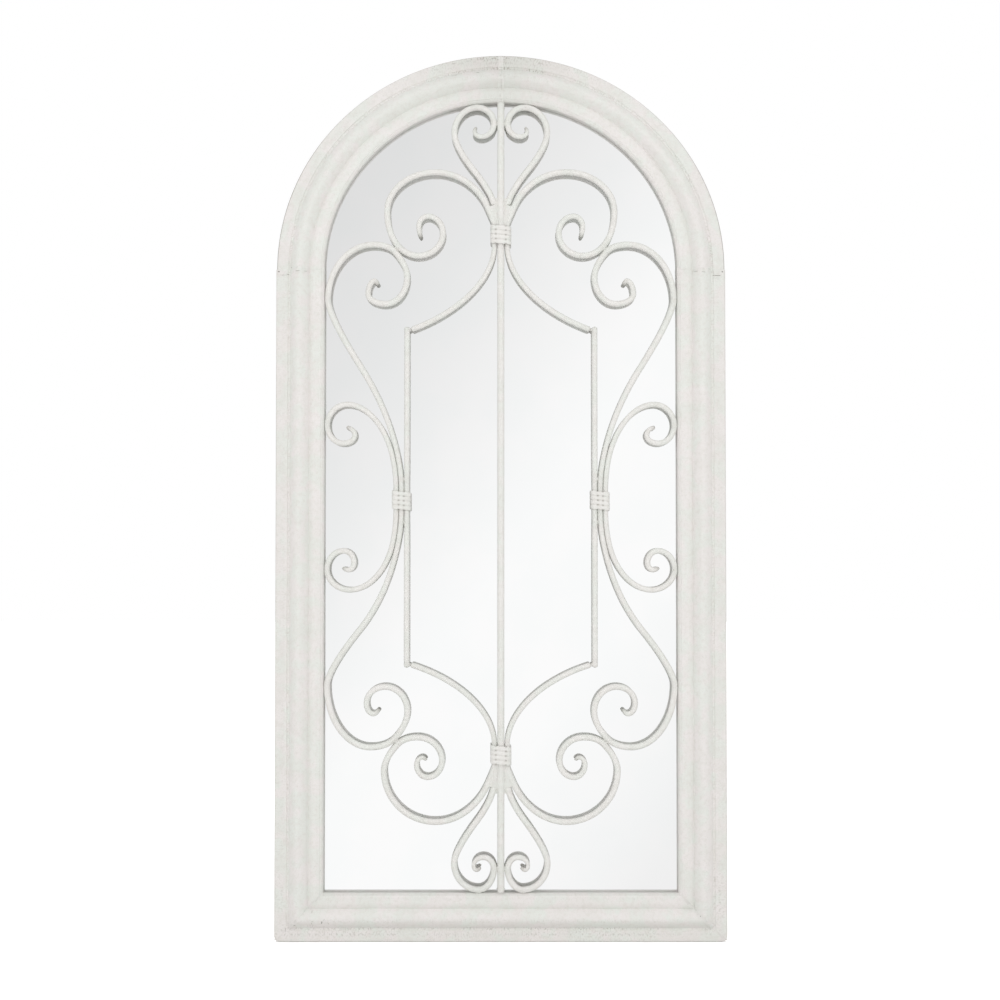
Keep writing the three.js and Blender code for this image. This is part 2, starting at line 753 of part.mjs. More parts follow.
function collarRings({ x, z, straight, radius }) {
  const middle = (radius + seat + wireThickness / 2) / Math.cos((1.5 * Math.PI) / collarSteps);
  return Array.from({ length: wireTurns * collarSteps + 1 }, (_, step) => {
    const place = stadiumPlace(step, straight, middle);
    const climb = wirePitch * (step / collarSteps - wireTurns / 2);
    return wireSection.map(([along, out]) =>
      at(
        x + place.x + out * place.outX,
        rodDepth + place.depth + out * place.outDepth,
        z + climb + along,
      ),
    );
  });
}

// Least distance between points of the wire that are half a turn apart or more.
function leastGap(rings) {
  let least = Infinity;
  for (let i = 0; i < rings.length; i++) {
    for (let j = i + collarSteps / 2; j < rings.length; j++) {
      for (const p of rings[i]) {
        for (const q of rings[j]) least = Math.min(least, p.distanceTo(q));
      }
    }
  }
  return least;
}

function addCollar(name, place) {
  const rings = collarRings(place);
  console.log(`${name}: the wire's least gap to itself is ${leastGap(rings).toFixed(2)} mm`);
  add(name, loft(rings), distressedPaint);
}

function buildGrille() {
  add("centre_bar", rodGeometry(centreBarKnots()), distressedPaint);
  const scrolls = {
    top_heart_scroll: topHeartKnots(),
    bottom_heart_scroll: bottomHeartKnots(),
    upper_scroll: upperScrollKnots(),
    lower_scroll: lowerScrollKnots(),
    side_bow_scroll: sideBowKnots(),
    side_c_scroll: sideScrollKnots(),
    lyre_side_bar: lyreBarKnots(),
  };
  for (const [scroll, knots] of Object.entries(scrolls)) {
    for (const [name, side] of Object.entries(sides)) {
      add(`${scroll}_${name}`, rodGeometry(knots, side), distressedPaint);
    }
  }
  const middleStraight = neckX + neckRadius - barRadius;
  addCollar("collar_top", { x: 0, z: topCollar, straight: middleStraight, radius: barRadius });
  addCollar("collar_bottom", { x: 0, z: bottomCollar, straight: middleStraight, radius: barRadius });
  for (const [name, side] of Object.entries(sides)) {
    const place = { x: side * bowX, z: sideCollar, straight: neckStep, radius: neckRadius };
    addCollar(`collar_${name}`, place);
  }
}

// ---------------------------------------------------------------- hanging rings
const ringRadius = ringWire / 2;
const plateFront = wallGap - seat;
const plateBack = plateFront - plateSheet;
const ringDepth = plateBack - seat - ringRadius; // of the ring's axis
const ringX = halfWidth - ringInset;

function plateScrewPlaces(side) {
  return plateScrewRise.map((rise) => [side * (halfWidth - flangeMiddle), hangHeight + rise]);
}

// The plate's lower edge is rolled round the ring's straight wire, from in front of it down, round
// behind it and up, and stops short of the plate.
function knuckleGeometry(side) {
  const inner = ringRadius + seat;
  const arc = (radius) =>
    Array.from({ length: knuckleSteps + 1 }, (_, i) => {
      const angle = radians((knuckleTurn * i) / knuckleSteps);
      return [ringDepth + radius * Math.cos(angle), hangHeight - radius * Math.sin(angle)];
    });
  const outline = [...arc(inner + plateSheet), ...arc(inner).reverse()];
  const ring = (shift) => outline.map(([depth, z]) => at(side * ringX + shift, depth, z));
  return loft([ring(-knuckleWidth / 2), ring(knuckleWidth / 2)]);
}

function plateGeometry(side) {
  const outer = halfWidth - plateMargin;
  const inner = halfWidth - plateReach;
  const middleZ = hangHeight + (plateAbove - plateBelow) / 2;
  const plate = new THREE.BoxGeometry(outer - inner, plateSheet, plateAbove + plateBelow);
  plate.translate((side * (outer + inner)) / 2, -(plateFront + plateBack) / 2, middleZ);
  const drills = plateScrewPlaces(side).map(([x, z]) =>
    rodCutter(at(x, plateBack, z), towardsWall, screwHole, 4 * plateSheet),
  );
  return cut(join(plate, knuckleGeometry(side)), drills);
}

// A rectangle of wire with rounded corners, its straight top wire in the knuckle.
function ringGeometry(side) {
  const half = ringInside / 2 + ringRadius;
  const corners = [
    [side * ringX + half - ringCorner, hangHeight - ringCorner, 0],
    [side * ringX - half + ringCorner, hangHeight - ringCorner, 90],
    [side * ringX - half + ringCorner, hangHeight - ringDrop + ringCorner, 180],
    [side * ringX + half - ringCorner, hangHeight - ringDrop + ringCorner, 270],
  ];
  const stations = corners.flatMap(([x, z, start]) =>
    [0, 45, 90].map((turn) => {
      const out = direction(start + turn);
      const point = new THREE.Vector2(x + ringCorner * out.x, z + ringCorner * out.y);
      return { point, tangent: direction(start + turn + 90), radius: ringRadius };
    }),
  );
  const rings = stations.map((station) => roundSection(station, ringDepth));
  return loft(rings, { endless: true });
}

function buildHangers() {
  for (const [name, side] of Object.entries(sides)) {
    add("hanger_plate_" + name, plateGeometry(side), zincPlate);
    add("hanging_ring_" + name, ringGeometry(side), zincPlate);
    plateScrewPlaces(side).forEach(([x, z], i) => {
      add(`hanger_screw_${["lower", "upper"][i]}_${name}`, screwGeometry(x, z, plateBack), zincPlate);
    });
  }
}

// ---------------------------------------------------------------- bumpers
function bumperGeometry(x, z) {
  const length = wallGap - seat;
  const bumper = new THREE.CylinderGeometry(bumperRadius, bumperRadius, length, bumperSides);
  return bumper.translate(x, -length / 2, z);
}

function buildBumpers() {
  const upper = onArch(radians(upperBumperTurn), (flangeMiddle * archFace) / faceWidth).point;
  for (const [name, side] of Object.entries(sides)) {
    const lowerX = side * (halfWidth - flangeMiddle);
    add("bumper_lower_" + name, bumperGeometry(lowerX, lowerBumperHeight), blackRubber);
    add("bumper_upper_" + name, bumperGeometry(side * upper.x, upper.y), blackRubber);
  }
}

buildFrame();
buildGlass();
buildGrille();
buildHangers();
buildBumpers();
mirror.position.z = -hangHeight;

export default mirror;
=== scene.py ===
from math import acos, atan2, ceil, copysign, cos, degrees, exp, hypot, pi, radians, sin, sqrt, tan

import bmesh
import bpy
from mathutils import Matrix, Vector, noise


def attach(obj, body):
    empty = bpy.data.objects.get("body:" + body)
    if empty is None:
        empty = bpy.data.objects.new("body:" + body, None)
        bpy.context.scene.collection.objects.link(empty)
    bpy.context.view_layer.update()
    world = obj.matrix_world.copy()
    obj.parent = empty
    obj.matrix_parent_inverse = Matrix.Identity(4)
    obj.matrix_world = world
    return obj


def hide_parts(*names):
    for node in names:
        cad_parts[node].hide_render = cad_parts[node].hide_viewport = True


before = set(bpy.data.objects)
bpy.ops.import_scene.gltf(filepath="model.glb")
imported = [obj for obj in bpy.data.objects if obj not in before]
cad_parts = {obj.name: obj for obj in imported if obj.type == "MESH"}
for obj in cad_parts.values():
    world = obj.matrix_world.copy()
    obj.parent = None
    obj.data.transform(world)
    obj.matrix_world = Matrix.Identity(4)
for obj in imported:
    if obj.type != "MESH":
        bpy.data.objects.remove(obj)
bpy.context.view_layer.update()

# ------------------------------------------------------------------ sizes, in millimetres
# The same as in the part's source: heights from the rail's underside, depths from the wall.
HEIGHT = 1000
WIDTH = 508
ARCH_RISE = 244
RAIL = 55
ARCH_SETBACK = 1
HANG = 690
WALL_GAP = 7
SEAT = 0.3
SEAM = 0.3
SHEET = 1.2
LIP, GROOVE, BEAD_RISE, BEAD_FALL, COVE, BAND, RIM = 13, 3.5, 10, 11, 7.5, 6, 4
LIP_HIGH, GROOVE_DEEP, BEAD_HIGH, HOLLOW_HIGH, BAND_HIGH, RIM_STEP = 18, 1, 25.5, 18, 20.5, 0.6
REAR_FLANGE, GLASS_FLANGE, GLASS_FLANGE_HIGH = 14, 15, 8.6
FACE = LIP + GROOVE + BEAD_RISE + BEAD_FALL + COVE + BAND + RIM
GLASS_THICK, BOARD_THICK, GLASS_OVERLAP = 3, 2.5, 7

ARCH_FACE = FACE - ARCH_SETBACK
HALF = WIDTH / 2
SPRING = HEIGHT - ARCH_RISE
OPEN = HALF - FACE
OPEN_TOP = HEIGHT - ARCH_FACE
GLASS_FRONT = WALL_GAP + GLASS_FLANGE_HIGH - SEAT
ROD_DEPTH = GLASS_FRONT + 10.7
BOARD_FRONT = GLASS_FRONT - GLASS_THICK - SEAT
TOP_INSET, LOW_INSET = 151, 154
TOP_COLLAR = OPEN_TOP - TOP_INSET
LOW_COLLAR = RAIL + LOW_INSET
SIDE_COLLAR = (TOP_COLLAR + LOW_COLLAR) / 2 - 7.4
BAR, ROD, SLIM, NECK, TIP = 4, 3.5, 3.2, 2.9, 2.3
LYRE_X = 0.532 * OPEN
MITRE = RAIL / FACE
CORNER = 7
SIDES = {"left": -1, "right": 1}


def at(x, depth, z):
    return Vector((x, -depth, z - HANG)) / 1000


# ------------------------------------------------------------------ meshes
class Builder:
    """Gathers points with their finish: way along and across, wear, grime with painted shade, and
    ticks.
    """

    def __init__(self):
        self.points, self.faces, self.flow, self.grime, self.ticks = [], [], [], [], []

    def point(self, place, along=0.0, across=0.0, wear=0.0, grime=0.0, ticks=0.0):
        self.points.append(place)
        self.flow.append((along, across, wear))
        self.grime.append(grime)
        self.ticks.append(ticks)
        return len(self.points) - 1

    def ring(self, places, **finish):
        return [self.point(place, **finish) for place in places]

    def loft(self, rings, closed=True, endless=False):
        """Joins rings of point numbers."""
        count = len(rings[0])
        for i in range(len(rings) if endless else len(rings) - 1):
            a, b = rings[i], rings[(i + 1) % len(rings)]
            for j in range(count if closed else count - 1):
                k = (j + 1) % count
                self.faces.append((a[j], a[k], b[k], b[j]))
        if closed and not endless:
            self.faces.append(tuple(reversed(rings[0])))
            self.faces.append(tuple(rings[-1]))

    def make(self, name, finish, replaced=None, body="mirror", sharp=38):
        """One piece with its material, in place of the solid that it replaces."""
        material, slot = finish
        mesh = bpy.data.meshes.new(name)
        mesh.from_pydata(self.points, [], self.faces)
        bm = bmesh.new()
        bm.from_mesh(mesh)
        bmesh.ops.recalc_face_normals(bm, faces=bm.faces)
        bm.to_mesh(mesh)
        bm.free()
        mesh.shade_smooth()
        mesh.set_sharp_from_angle(angle=radians(sharp))
        flow = mesh.attributes.new("flow", "FLOAT_VECTOR", "POINT")
        flow.data.foreach_set("vector", [v for f in self.flow for v in f])
        for label, values in (("grime", self.grime), ("ticks", self.ticks)):
            layer = mesh.attributes.new(label, "FLOAT", "POINT")
            layer.data.foreach_set("value", values)
        mesh.materials.append(material)
        made = bpy.data.objects.new(name, mesh)
        bpy.context.scene.collection.objects.link(made)
        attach(made, body)
        if replaced:
            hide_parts(replaced)


def smooth(t):
    t = min(max(t, 0.0), 1.0)
    return t * t * (3 - 2 * t)


def bump_of(distance, reach):
    return exp(-((distance / reach) ** 2))


def noise_at(x, y, z):
    return noise.noise(Vector((x, y, z)))


def patch_at(place):
    """Noise from 0 to 1."""
    return 0.5 + 0.5 * noise.noise(place)


def squared(value, power):
    """Draws a circle's cosine or sine towards a square's."""
    return copysign(abs(value) ** power, value)


# ------------------------------------------------------------------ shader nodes
def node(tree, kind, inputs=None, **settings):
    made = tree.nodes.new(kind)
    for key, value in settings.items():
        setattr(made, key, value)
    for key, value in (inputs or {}).items():
        if isinstance(value, bpy.types.NodeSocket):
            tree.links.new(value, made.inputs[key])
        else:
            made.inputs[key].default_value = value
    return made


def calc(tree, operation, *values, clamp=False):
    inputs = dict(enumerate(values))
    return node(tree, "ShaderNodeMath", inputs, operation=operation, use_clamp=clamp).outputs[0]


def ramp(tree, value, low, high, to_low=0.0, to_high=1.0):
    inputs = {0: value, 1: low, 2: high, 3: to_low, 4: to_high}
    made = node(tree, "ShaderNodeMapRange", inputs, interpolation_type="SMOOTHSTEP")
    return made.outputs[0]


def blend(tree, factor, a, b):
    return node(tree, "ShaderNodeMix", {0: factor, 6: a, 7: b}, data_type="RGBA").outputs[2]


def scaled(tree, vector, scale, shift=(0, 0, 0)):
    inputs = {"Vector": vector, "Scale": scale, "Location": shift}
    return node(tree, "ShaderNodeMapping", inputs).outputs[0]


def grain(tree, vector, scale=1.0, detail=2.0, rough=0.5):
    inputs = {"Vector": vector, "Scale": scale, "Detail": detail, "Roughness": rough}
    return node(tree, "ShaderNodeTexNoise", inputs).outputs[0]


def linear(level):
    v = level / 255
    return v / 12.92 if v <= 0.04045 else ((v + 0.055) / 1.055) ** 2.4


def colour(red, green, blue):
    return (linear(red), linear(green), linear(blue), 1)


def new_material(name):
    material = bpy.data.materials.new(name)
    material.use_nodes = True
    tree = material.node_tree
    tree.nodes.clear()
    shader = node(tree, "ShaderNodeBsdfPrincipled")
    out = node(tree, "ShaderNodeOutputMaterial", {"Surface": shader.outputs[0]})
    return material, tree, shader, out


def millimetres(tree):
    place = node(tree, "ShaderNodeTexCoord").outputs["Object"]
    return scaled(tree, place, (1000, 1000, 1000))


def finish_shader(tree, shader, tone, roughness, height, depth):
    tree.links.new(tone, shader.inputs["Base Color"])
    tree.links.new(roughness, shader.inputs["Roughness"])
    inputs = {"Height": height, "Distance": depth, "Strength": 1.0}
    bump = node(tree, "ShaderNodeBump", inputs)
    tree.links.new(bump.outputs[0], shader.inputs["Normal"])


def painted(name, tint, relief):
    """Off-white paint over dark iron, chipped where it is worn, ticked across its length, darkened
    by grime and by painted shade.
    """
    material, tree, shader, _ = new_material(name)
    flow = node(tree, "ShaderNodeAttribute", attribute_name="flow").outputs["Vector"]
    wear = node(tree, "ShaderNodeSeparateXYZ", {0: flow}).outputs[2]
    grime = node(tree, "ShaderNodeAttribute", attribute_name="grime").outputs["Fac"]
    ticks = node(tree, "ShaderNodeAttribute", attribute_name="ticks").outputs["Fac"]
    place = millimetres(tree)
    stipple = grain(tree, place, 0.85, 3, 0.6)
    patches = grain(tree, place, 0.035, 3, 0.55)
    hues = grain(tree, scaled(tree, place, (1, 1, 1), (90, 20, 55)), 0.05, 2, 0.5)
    mottle = grain(tree, place, 0.22, 3, 0.6)
    chips = grain(tree, scaled(tree, place, (1, 1, 1), (31, 7, 13)), 0.52, 4, 0.62)
    marks = grain(tree, scaled(tree, flow, (0.6, 0.32, 0)), 1.0, 2, 0.5)
    level = calc(tree, "MULTIPLY_ADD", wear, -0.2, 0.8)
    chipped = ramp(tree, calc(tree, "SUBTRACT", chips, level), -0.02, 0.06)
    marked = calc(tree, "MULTIPLY", ramp(tree, marks, 0.5, 0.64), ticks)
    marked = calc(tree, "MULTIPLY", marked, ramp(tree, patches, 0.36, 0.58, 0.3, 1))
    clean = blend(tree, ramp(tree, hues, 0.4, 0.6), colour(*tint), colour(231, 233, 228))
    clean = blend(tree, ramp(tree, patches, 0.35, 0.65, 0.3, 0), clean, colour(226, 224, 219))
    clean = blend(tree, ramp(tree, mottle, 0.42, 0.75, 0, 0.5), clean, colour(221, 218, 212))
    clean = blend(tree, ramp(tree, stipple, 0.5, 0.78, 0, 0.34), clean, colour(206, 202, 193))
    tone = blend(tree, marked, clean, colour(160, 154, 143))
    tone = blend(tree, calc(tree, "MULTIPLY", chipped, 0.85), tone, colour(104, 94, 76))
    # Dark grey-brown mixed in by the mask: real grime on welds and lips, and painted shade in the
    # moulding's creases, along its edges and between the collars' turns.
    tone = blend(tree, grime, tone, colour(118, 112, 100))
    roughness = calc(tree, "MULTIPLY_ADD", stipple, 0.25, 0.42)
    roughness = calc(tree, "MULTIPLY_ADD", chipped, 0.2, roughness, clamp=True)
    height = calc(tree, "MULTIPLY_ADD", stipple, 0.5, calc(tree, "MULTIPLY", mottle, 0.7))
    height = calc(tree, "MULTIPLY_ADD", marked, -0.5, height)
    height = calc(tree, "MULTIPLY_ADD", chipped, -0.7, height)
    finish_shader(tree, shader, tone, roughness, height, relief)
    shader.inputs["Specular IOR Level"].default_value = 0.35
    return material


def silvered():
    """Silvered glass: bright, a trace of haze, darker where the silver ends."""
    material, tree, shader, _ = new_material("silvered_glass_fine")
    place = millimetres(tree)
    haze = grain(tree, place, 0.012, 3, 0.5)
    speck = grain(tree, place, 0.4, 2, 0.5)
    grime = node(tree, "ShaderNodeAttribute", attribute_name="grime").outputs["Fac"]
    tone = blend(tree, ramp(tree, haze, 0.35, 0.65), colour(250, 251, 251), colour(252, 252, 252))
    tone = blend(tree, grime, tone, colour(120, 126, 124))
    tree.links.new(tone, shader.inputs["Base Color"])
    roughness = ramp(tree, speck, 0.68, 0.8, 0.0, 0.03)
    tree.links.new(roughness, shader.inputs["Roughness"])
    shader.inputs["Metallic"].default_value = 1.0
    return material


def hardboard():
    """Pressed fibre board: matted short fibres, a darker edge."""
    material, tree, shader, _ = new_material("hardboard_fibres")
    place = millimetres(tree)
    fibres = grain(tree, scaled(tree, place, (0.9, 0.9, 0.25)), 1.0, 4, 0.65)
    crossed = grain(tree, scaled(tree, place, (0.2, 0.9, 1.1)), 1.0, 4, 0.65)
    clouds = grain(tree, place, 0.02, 3, 0.5)
    mat = calc(tree, "MAXIMUM", fibres, crossed)
    tone = blend(tree, ramp(tree, clouds, 0.3, 0.7), colour(122, 88, 58), colour(136, 101, 68))
    tone = blend(tree, ramp(tree, mat, 0.48, 0.72, 0, 0.75), tone, colour(88, 62, 40))
    roughness = ramp(tree, mat, 0.3, 0.8, 0.68, 0.9)
    finish_shader(tree, shader, tone, roughness, mat, 0.0003)
    return material


def zinc():
    """Zinc plate: faint crystal mottling and rolling marks."""
    material, tree, shader, _ = new_material("zinc_plate_worn")
    place = millimetres(tree)
    cells = node(tree, "ShaderNodeTexVoronoi", {"Vector": place, "Scale": 0.45}).outputs["Color"]
    spangle = node(tree, "ShaderNodeSeparateColor", {0: cells}).outputs[0]
    rolled = grain(tree, scaled(tree, place, (0.15, 2, 2.6)), 1.0, 3, 0.6)
    darkening = grain(tree, place, 0.3, 4, 0.6)
    pale, dull = colour(188, 191, 195), colour(166, 169, 172)
    tone = blend(tree, calc(tree, "MULTIPLY", spangle, 0.5), pale, dull)
    tone = blend(tree, ramp(tree, darkening, 0.58, 0.75, 0, 0.5), tone, colour(120, 114, 104))
    roughness = calc(tree, "MULTIPLY_ADD", rolled, 0.3, 0.22)
    roughness = calc(tree, "MULTIPLY_ADD", spangle, 0.08, roughness)
    finish_shader(tree, shader, tone, roughness, rolled, 0.0001)
    shader.inputs["Metallic"].default_value = 1.0
    return material


def rubber():
    """Moulded black rubber with a dusty bloom."""
    material, tree, shader, _ = new_material("black_rubber_moulded")
    place = millimetres(tree)
    pores = grain(tree, place, 2.2, 3, 0.6)
    bloom = grain(tree, place, 0.25, 3, 0.6)
    tone = blend(tree, ramp(tree, bloom, 0.4, 0.75), colour(34, 34, 36), colour(58, 57, 56))
    roughness = ramp(tree, bloom, 0.3, 0.7, 0.62, 0.85)
    finish_shader(tree, shader, tone, roughness, pores, 0.0002)
    return material


# Each finish is a material and its slot.
FRAME_PAINT = painted("distressed_paint_frame", (236, 232, 230), 0.0003), "distressed_paint"
ROD_PAINT = painted("distressed_paint_rods", (236, 234, 231), 0.00012), "distressed_paint"
MIRROR = silvered(), "silvered_glass"
BOARD = hardboard(), "hardboard"
ZINC = zinc(), "zinc_plate"
RUBBER = rubber(), "black_rubber"

# ------------------------------------------------------------------ frame moulding
def arc(cx, cy, rx, ry, start, end, steps):
    turns = [radians(start + (end - start) * i / steps) for i in range(steps + 1)]
    return [(cx + rx * cos(t), cy + ry * sin(t)) for t in turns]


def wave(x, y, run, rise, steps):
    """A rise that starts steep and ends flat."""
    shares = [i / steps for i in range(steps + 1)]
    return [(x + run * t, y + rise * sin(t * pi / 2)) for t in shares]


def moulding_skin():
    """The sheet's outer skin, from the rear flange's free edge to the glass flange's."""
    bead = LIP + GROOVE
    crest = bead + BEAD_RISE
    hollow = crest + BEAD_FALL
    band = hollow + COVE
    rim = band + BAND
    fold, edge = 1.5, 2
    rim_high = BAND_HIGH - RIM_STEP
    skin = [(REAR_FLANGE, 0), (9, 0), (4, 0)]
    skin += arc(fold, fold, fold, fold, 270, 180, 5)
    skin += [(0, 5), (0, 9.5)]
    skin += arc(edge, LIP_HIGH - edge, edge, edge, 180, 90, 6)
    skin += [(5, LIP_HIGH), (9, LIP_HIGH), (LIP - 0.6, LIP_HIGH)]
    skin += arc(LIP + GROOVE / 2, LIP_HIGH, GROOVE / 2, GROOVE_DEEP, 180, 360, 9)
    skin += wave(bead, LIP_HIGH, BEAD_RISE, BEAD_HIGH - LIP_HIGH, 12)[1:]
    skin += wave(hollow, HOLLOW_HIGH, -BEAD_FALL, BEAD_HIGH - HOLLOW_HIGH, 13)[-2::-1]
    skin += wave(hollow, HOLLOW_HIGH, COVE, BAND_HIGH - HOLLOW_HIGH, 8)[1:]
    skin += [(band + 2.5, BAND_HIGH), (band + 5, BAND_HIGH)]
    skin += [(rim - 0.4 + 0.2 * i, BAND_HIGH - RIM_STEP * smooth(i / 4)) for i in range(5)]
    skin += arc(FACE - fold, rim_high - fold, fold, fold, 90, 0, 5)
    skin += [(FACE, 15), (FACE, 12)]
    skin += arc(FACE - fold, GLASS_FLANGE_HIGH + fold, fold, fold, 0, -90, 5)
    skin += [(FACE - 6, GLASS_FLANGE_HIGH), (FACE - 10, GLASS_FLANGE_HIGH)]
    skin += [(FACE - GLASS_FLANGE, GLASS_FLANGE_HIGH)]
    return [Vector(p) for p in skin]


def beside(a, b):
    way = b - a
    return Vector((way.y, -way.x)).normalized()


def skin_normals(skin):
    """Towards the sheet's inside."""
    normals = []
    for i, p in enumerate(skin):
        before = beside(skin[i - 1], p) if i else beside(p, skin[1])
        after = beside(p, skin[i + 1]) if i < len(skin) - 1 else before
        normals.append((before + after).normalized())
    return normals


SKIN = moulding_skin()
SKIN_NORMALS = skin_normals(SKIN)
SECTION = SKIN + [p + n * SHEET for p, n in zip(SKIN, SKIN_NORMALS)][::-1]
# Way across the section, so that the paint's ticks follow it: out over the skin and back inside.
LENGTHS = [0.0]
for before, after in zip(SKIN, SKIN[1:]):
    LENGTHS.append(LENGTHS[-1] + (after - before).length)
LENGTHS += [LENGTHS[-1] + 60 - v for v in LENGTHS[::-1]]


def skin_wear(inwards, rise, hidden, amounts):
    """Wear, grime with painted shade, and ticks across the moulding; amounts: edge, lip, groove,
    dirt and outline shade.
    """
    if hidden:
        return 0.1, 0.35, 0
    edge, lip, groove, darkening, outline = amounts

    def near(middle, reach):
        return bump_of(inwards - middle, reach)

    worn, ticks = 0.12, 0.0
    # Painted shade in the creases: a dark line in the groove, scaled by the groove amount, and a
    # faint one in the hollow.
    grime = 0.12 * groove * near(14.7, 1.3) + 0.04 * near(37.5, 2)
    if rise > 3:
        worn += 0.4 * edge * near(1, 3) + 0.45 * groove * near(14.5, 2.5)
        worn += 0.15 * near(26.5, 3) + 0.25 * near(51, 1.5)
        ticks = edge * near(3, 2.6) + groove * near(15, 2)
        ticks += lip * (near(9.5, 2.2) + 0.5 * near(25, 2) + 0.3 * near(49, 2))
        grime += darkening + (0.03 + 0.6 * darkening) * smooth((13.5 - inwards) / 2)
        # Painted shade: a dark line along the outer edge, scaled by the outline amount, and one
        # along the inner edge's fold.
        grime += outline * smooth((1.5 - inwards) / 1.4) + 0.13 * near(53.6, 1.4)
    # Painted shade: the inner wall darkens towards the glass.
    if inwards > FACE - 1.2 and rise < 19:
        grime = 0.04 + 0.2 * smooth((14 - rise) / 5)
    elif rise < 1:
        grime = 0.2
    return worn, grime, min(1, ticks)


def on_arch(turn, inwards):
    rx = HALF - ARCH_SETBACK
    outer = Vector((rx * sin(turn), SPRING + ARCH_RISE * cos(turn)))
    normal = Vector((-sin(turn) / rx, -cos(turn) / ARCH_RISE)).normalized()
    return outer + normal * inwards, normal


def sweep(name, replaced, stations):
    """Stations give a section point's place, its way along, wear amounts and what adds to them."""
    builder = Builder()
    rings = []
    for place_of, along_of, amounts, added in stations:
        ring = []
        for i, p in enumerate(SECTION):
            hidden = i >= len(SKIN)
            wear, grime, ticks = skin_wear(p.x, p.y, hidden, amounts)
            place = place_of(p.x, p.y)
            spot = 0 if hidden else added(place)
            finish = (min(1, wear + spot), min(1, grime + 0.1 * spot), ticks)
            ring.append(builder.point(place, along_of(place), LENGTHS[i], *finish))
        rings.append(ring)
    builder.loft(rings)
    builder.make(name, FRAME_PAINT, replaced)


def mitre_wear(place):
    """Near the mitred corners and their welds."""
    x, z = abs(place.x) * 1000, place.z * 1000 + HANG
    off = abs((HALF - x) * MITRE - z) / hypot(1, MITRE)
    if z > 110 or x < 140:
        return 0
    return patch_at(place * 90) * (0.55 * bump_of(off, 2.5) + 0.3 * bump_of(off, 12))


def joint_wear(place):
    """Near the seams between the stiles and the arch, and at the crown."""
    x, z = place.x * 1000, place.z * 1000 + HANG
    worn = 0.3 * bump_of(z - SPRING, 4) + 0.12 * bump_of(z - SPRING, 14)
    if z > SPRING:
        worn += 0.55 * bump_of(x, 4) + 0.2 * bump_of(x, 14)
    return patch_at(place * 70) * worn


def corner_rounded(place):
    """Rounds the frame's two lower corners: squares about the corner's centre become circles."""
    x, z = abs(place.x) * 1000 - (HALF - CORNER), CORNER - (place.z * 1000 + HANG)
    if x <= 0 or z <= 0:
        return place
    draw = max(x, z) / hypot(x, z)
    made = at(copysign(HALF - CORNER + x * draw, place.x), 0, CORNER - z * draw)
    return Vector((made.x, place.y, made.z))


def wavy(place, along, amount=0.09):
    """A pressed sheet is never quite even: each point sinks by up to this."""
    sink = amount * patch_at(Vector((along * 0.03, place.x * 25, place.z * 25)))
    return place + Vector((0, sink / 1000, 0))


def arch_station(side, share):
    """From the crown to the spring line."""
    turn = pi / 2 * share

    def place(x, y):
        point, _ = on_arch(turn, x * ARCH_FACE / FACE)
        made = at(side * (point.x + SEAM / 2), WALL_GAP + y, point.y + SEAM * share)
        return wavy(made, turn * 250)

    crown = bump_of(turn, 0.3)
    shade = 0.2 + 0.5 * smooth((turn - 0.7) / 0.5)
    ticked = 0.1 + 0.3 * patch_at(Vector((turn * 5, side * 2, 7))) + 0.6 * crown
    amounts = (0.08 + crown, 0.05 + 0.3 * crown, ticked, 0.1 * crown, shade)
    return place, lambda p: turn * 250, amounts, joint_wear


def stile_station(side, share):
    """From the mitre to the spring line, closer together at the worn lower end."""
    t = share**1.7

    def place(x, y):
        foot = x * MITRE + SEAM
        z = foot + (SPRING - foot) * t
        return corner_rounded(wavy(at(side * (HALF - x), WALL_GAP + y, z), z))

    patch = patch_at(Vector((t * 9, side, 4)))
    low_end = bump_of(t, 0.12)
    ticked = 0.2 * patch + 0.2 * low_end
    amounts = (0.1 + 0.2 * low_end, ticked, 0.05 + 0.25 * patch, 0.005, 0.18)
    return place, lambda p: p.z * 1000, amounts, lambda p: mitre_wear(p) + joint_wear(p)


def rail_station(share):
    """From mitre to mitre, closer together at both."""
    t = 0.5 - 0.5 * cos(pi * share)

    def place(x, y):
        made = at((HALF - x) * (2 * t - 1), WALL_GAP + y, x * MITRE)
        return corner_rounded(wavy(made, t * WIDTH))

    patch = patch_at(Vector((t * 8, 2, 4)))
    amounts = (0.1 + 0.2 * patch, 0.15 + 0.5 * patch, 0.2 + 0.5 * patch, 0.005, 0.1)
    return place, lambda p: p.x * 1000, amounts, mitre_wear


def build_frame():
    for name, side in SIDES.items():
        stations = [arch_station(side, i / 110) for i in range(111)]
        sweep(f"arch_moulding_{name}", f"frame_arch_{name}", stations)
        stations = [stile_station(side, i / 130) for i in range(131)]
        sweep(f"stile_moulding_{name}", f"frame_stile_{name}", stations)
    sweep("rail_moulding", "frame_bottom_rail", [rail_station(i / 150) for i in range(151)])


def inside_box(place):
    """The frame's own box: a ground-down weld stands no further out than the moulding."""
    x = min(max(place.x, -HALF / 1000), HALF / 1000)
    z = min(max(place.z, -HANG / 1000), (HEIGHT - HANG) / 1000)
    return Vector((x, max(place.y, -(WALL_GAP + BEAD_HIGH) / 1000), z))


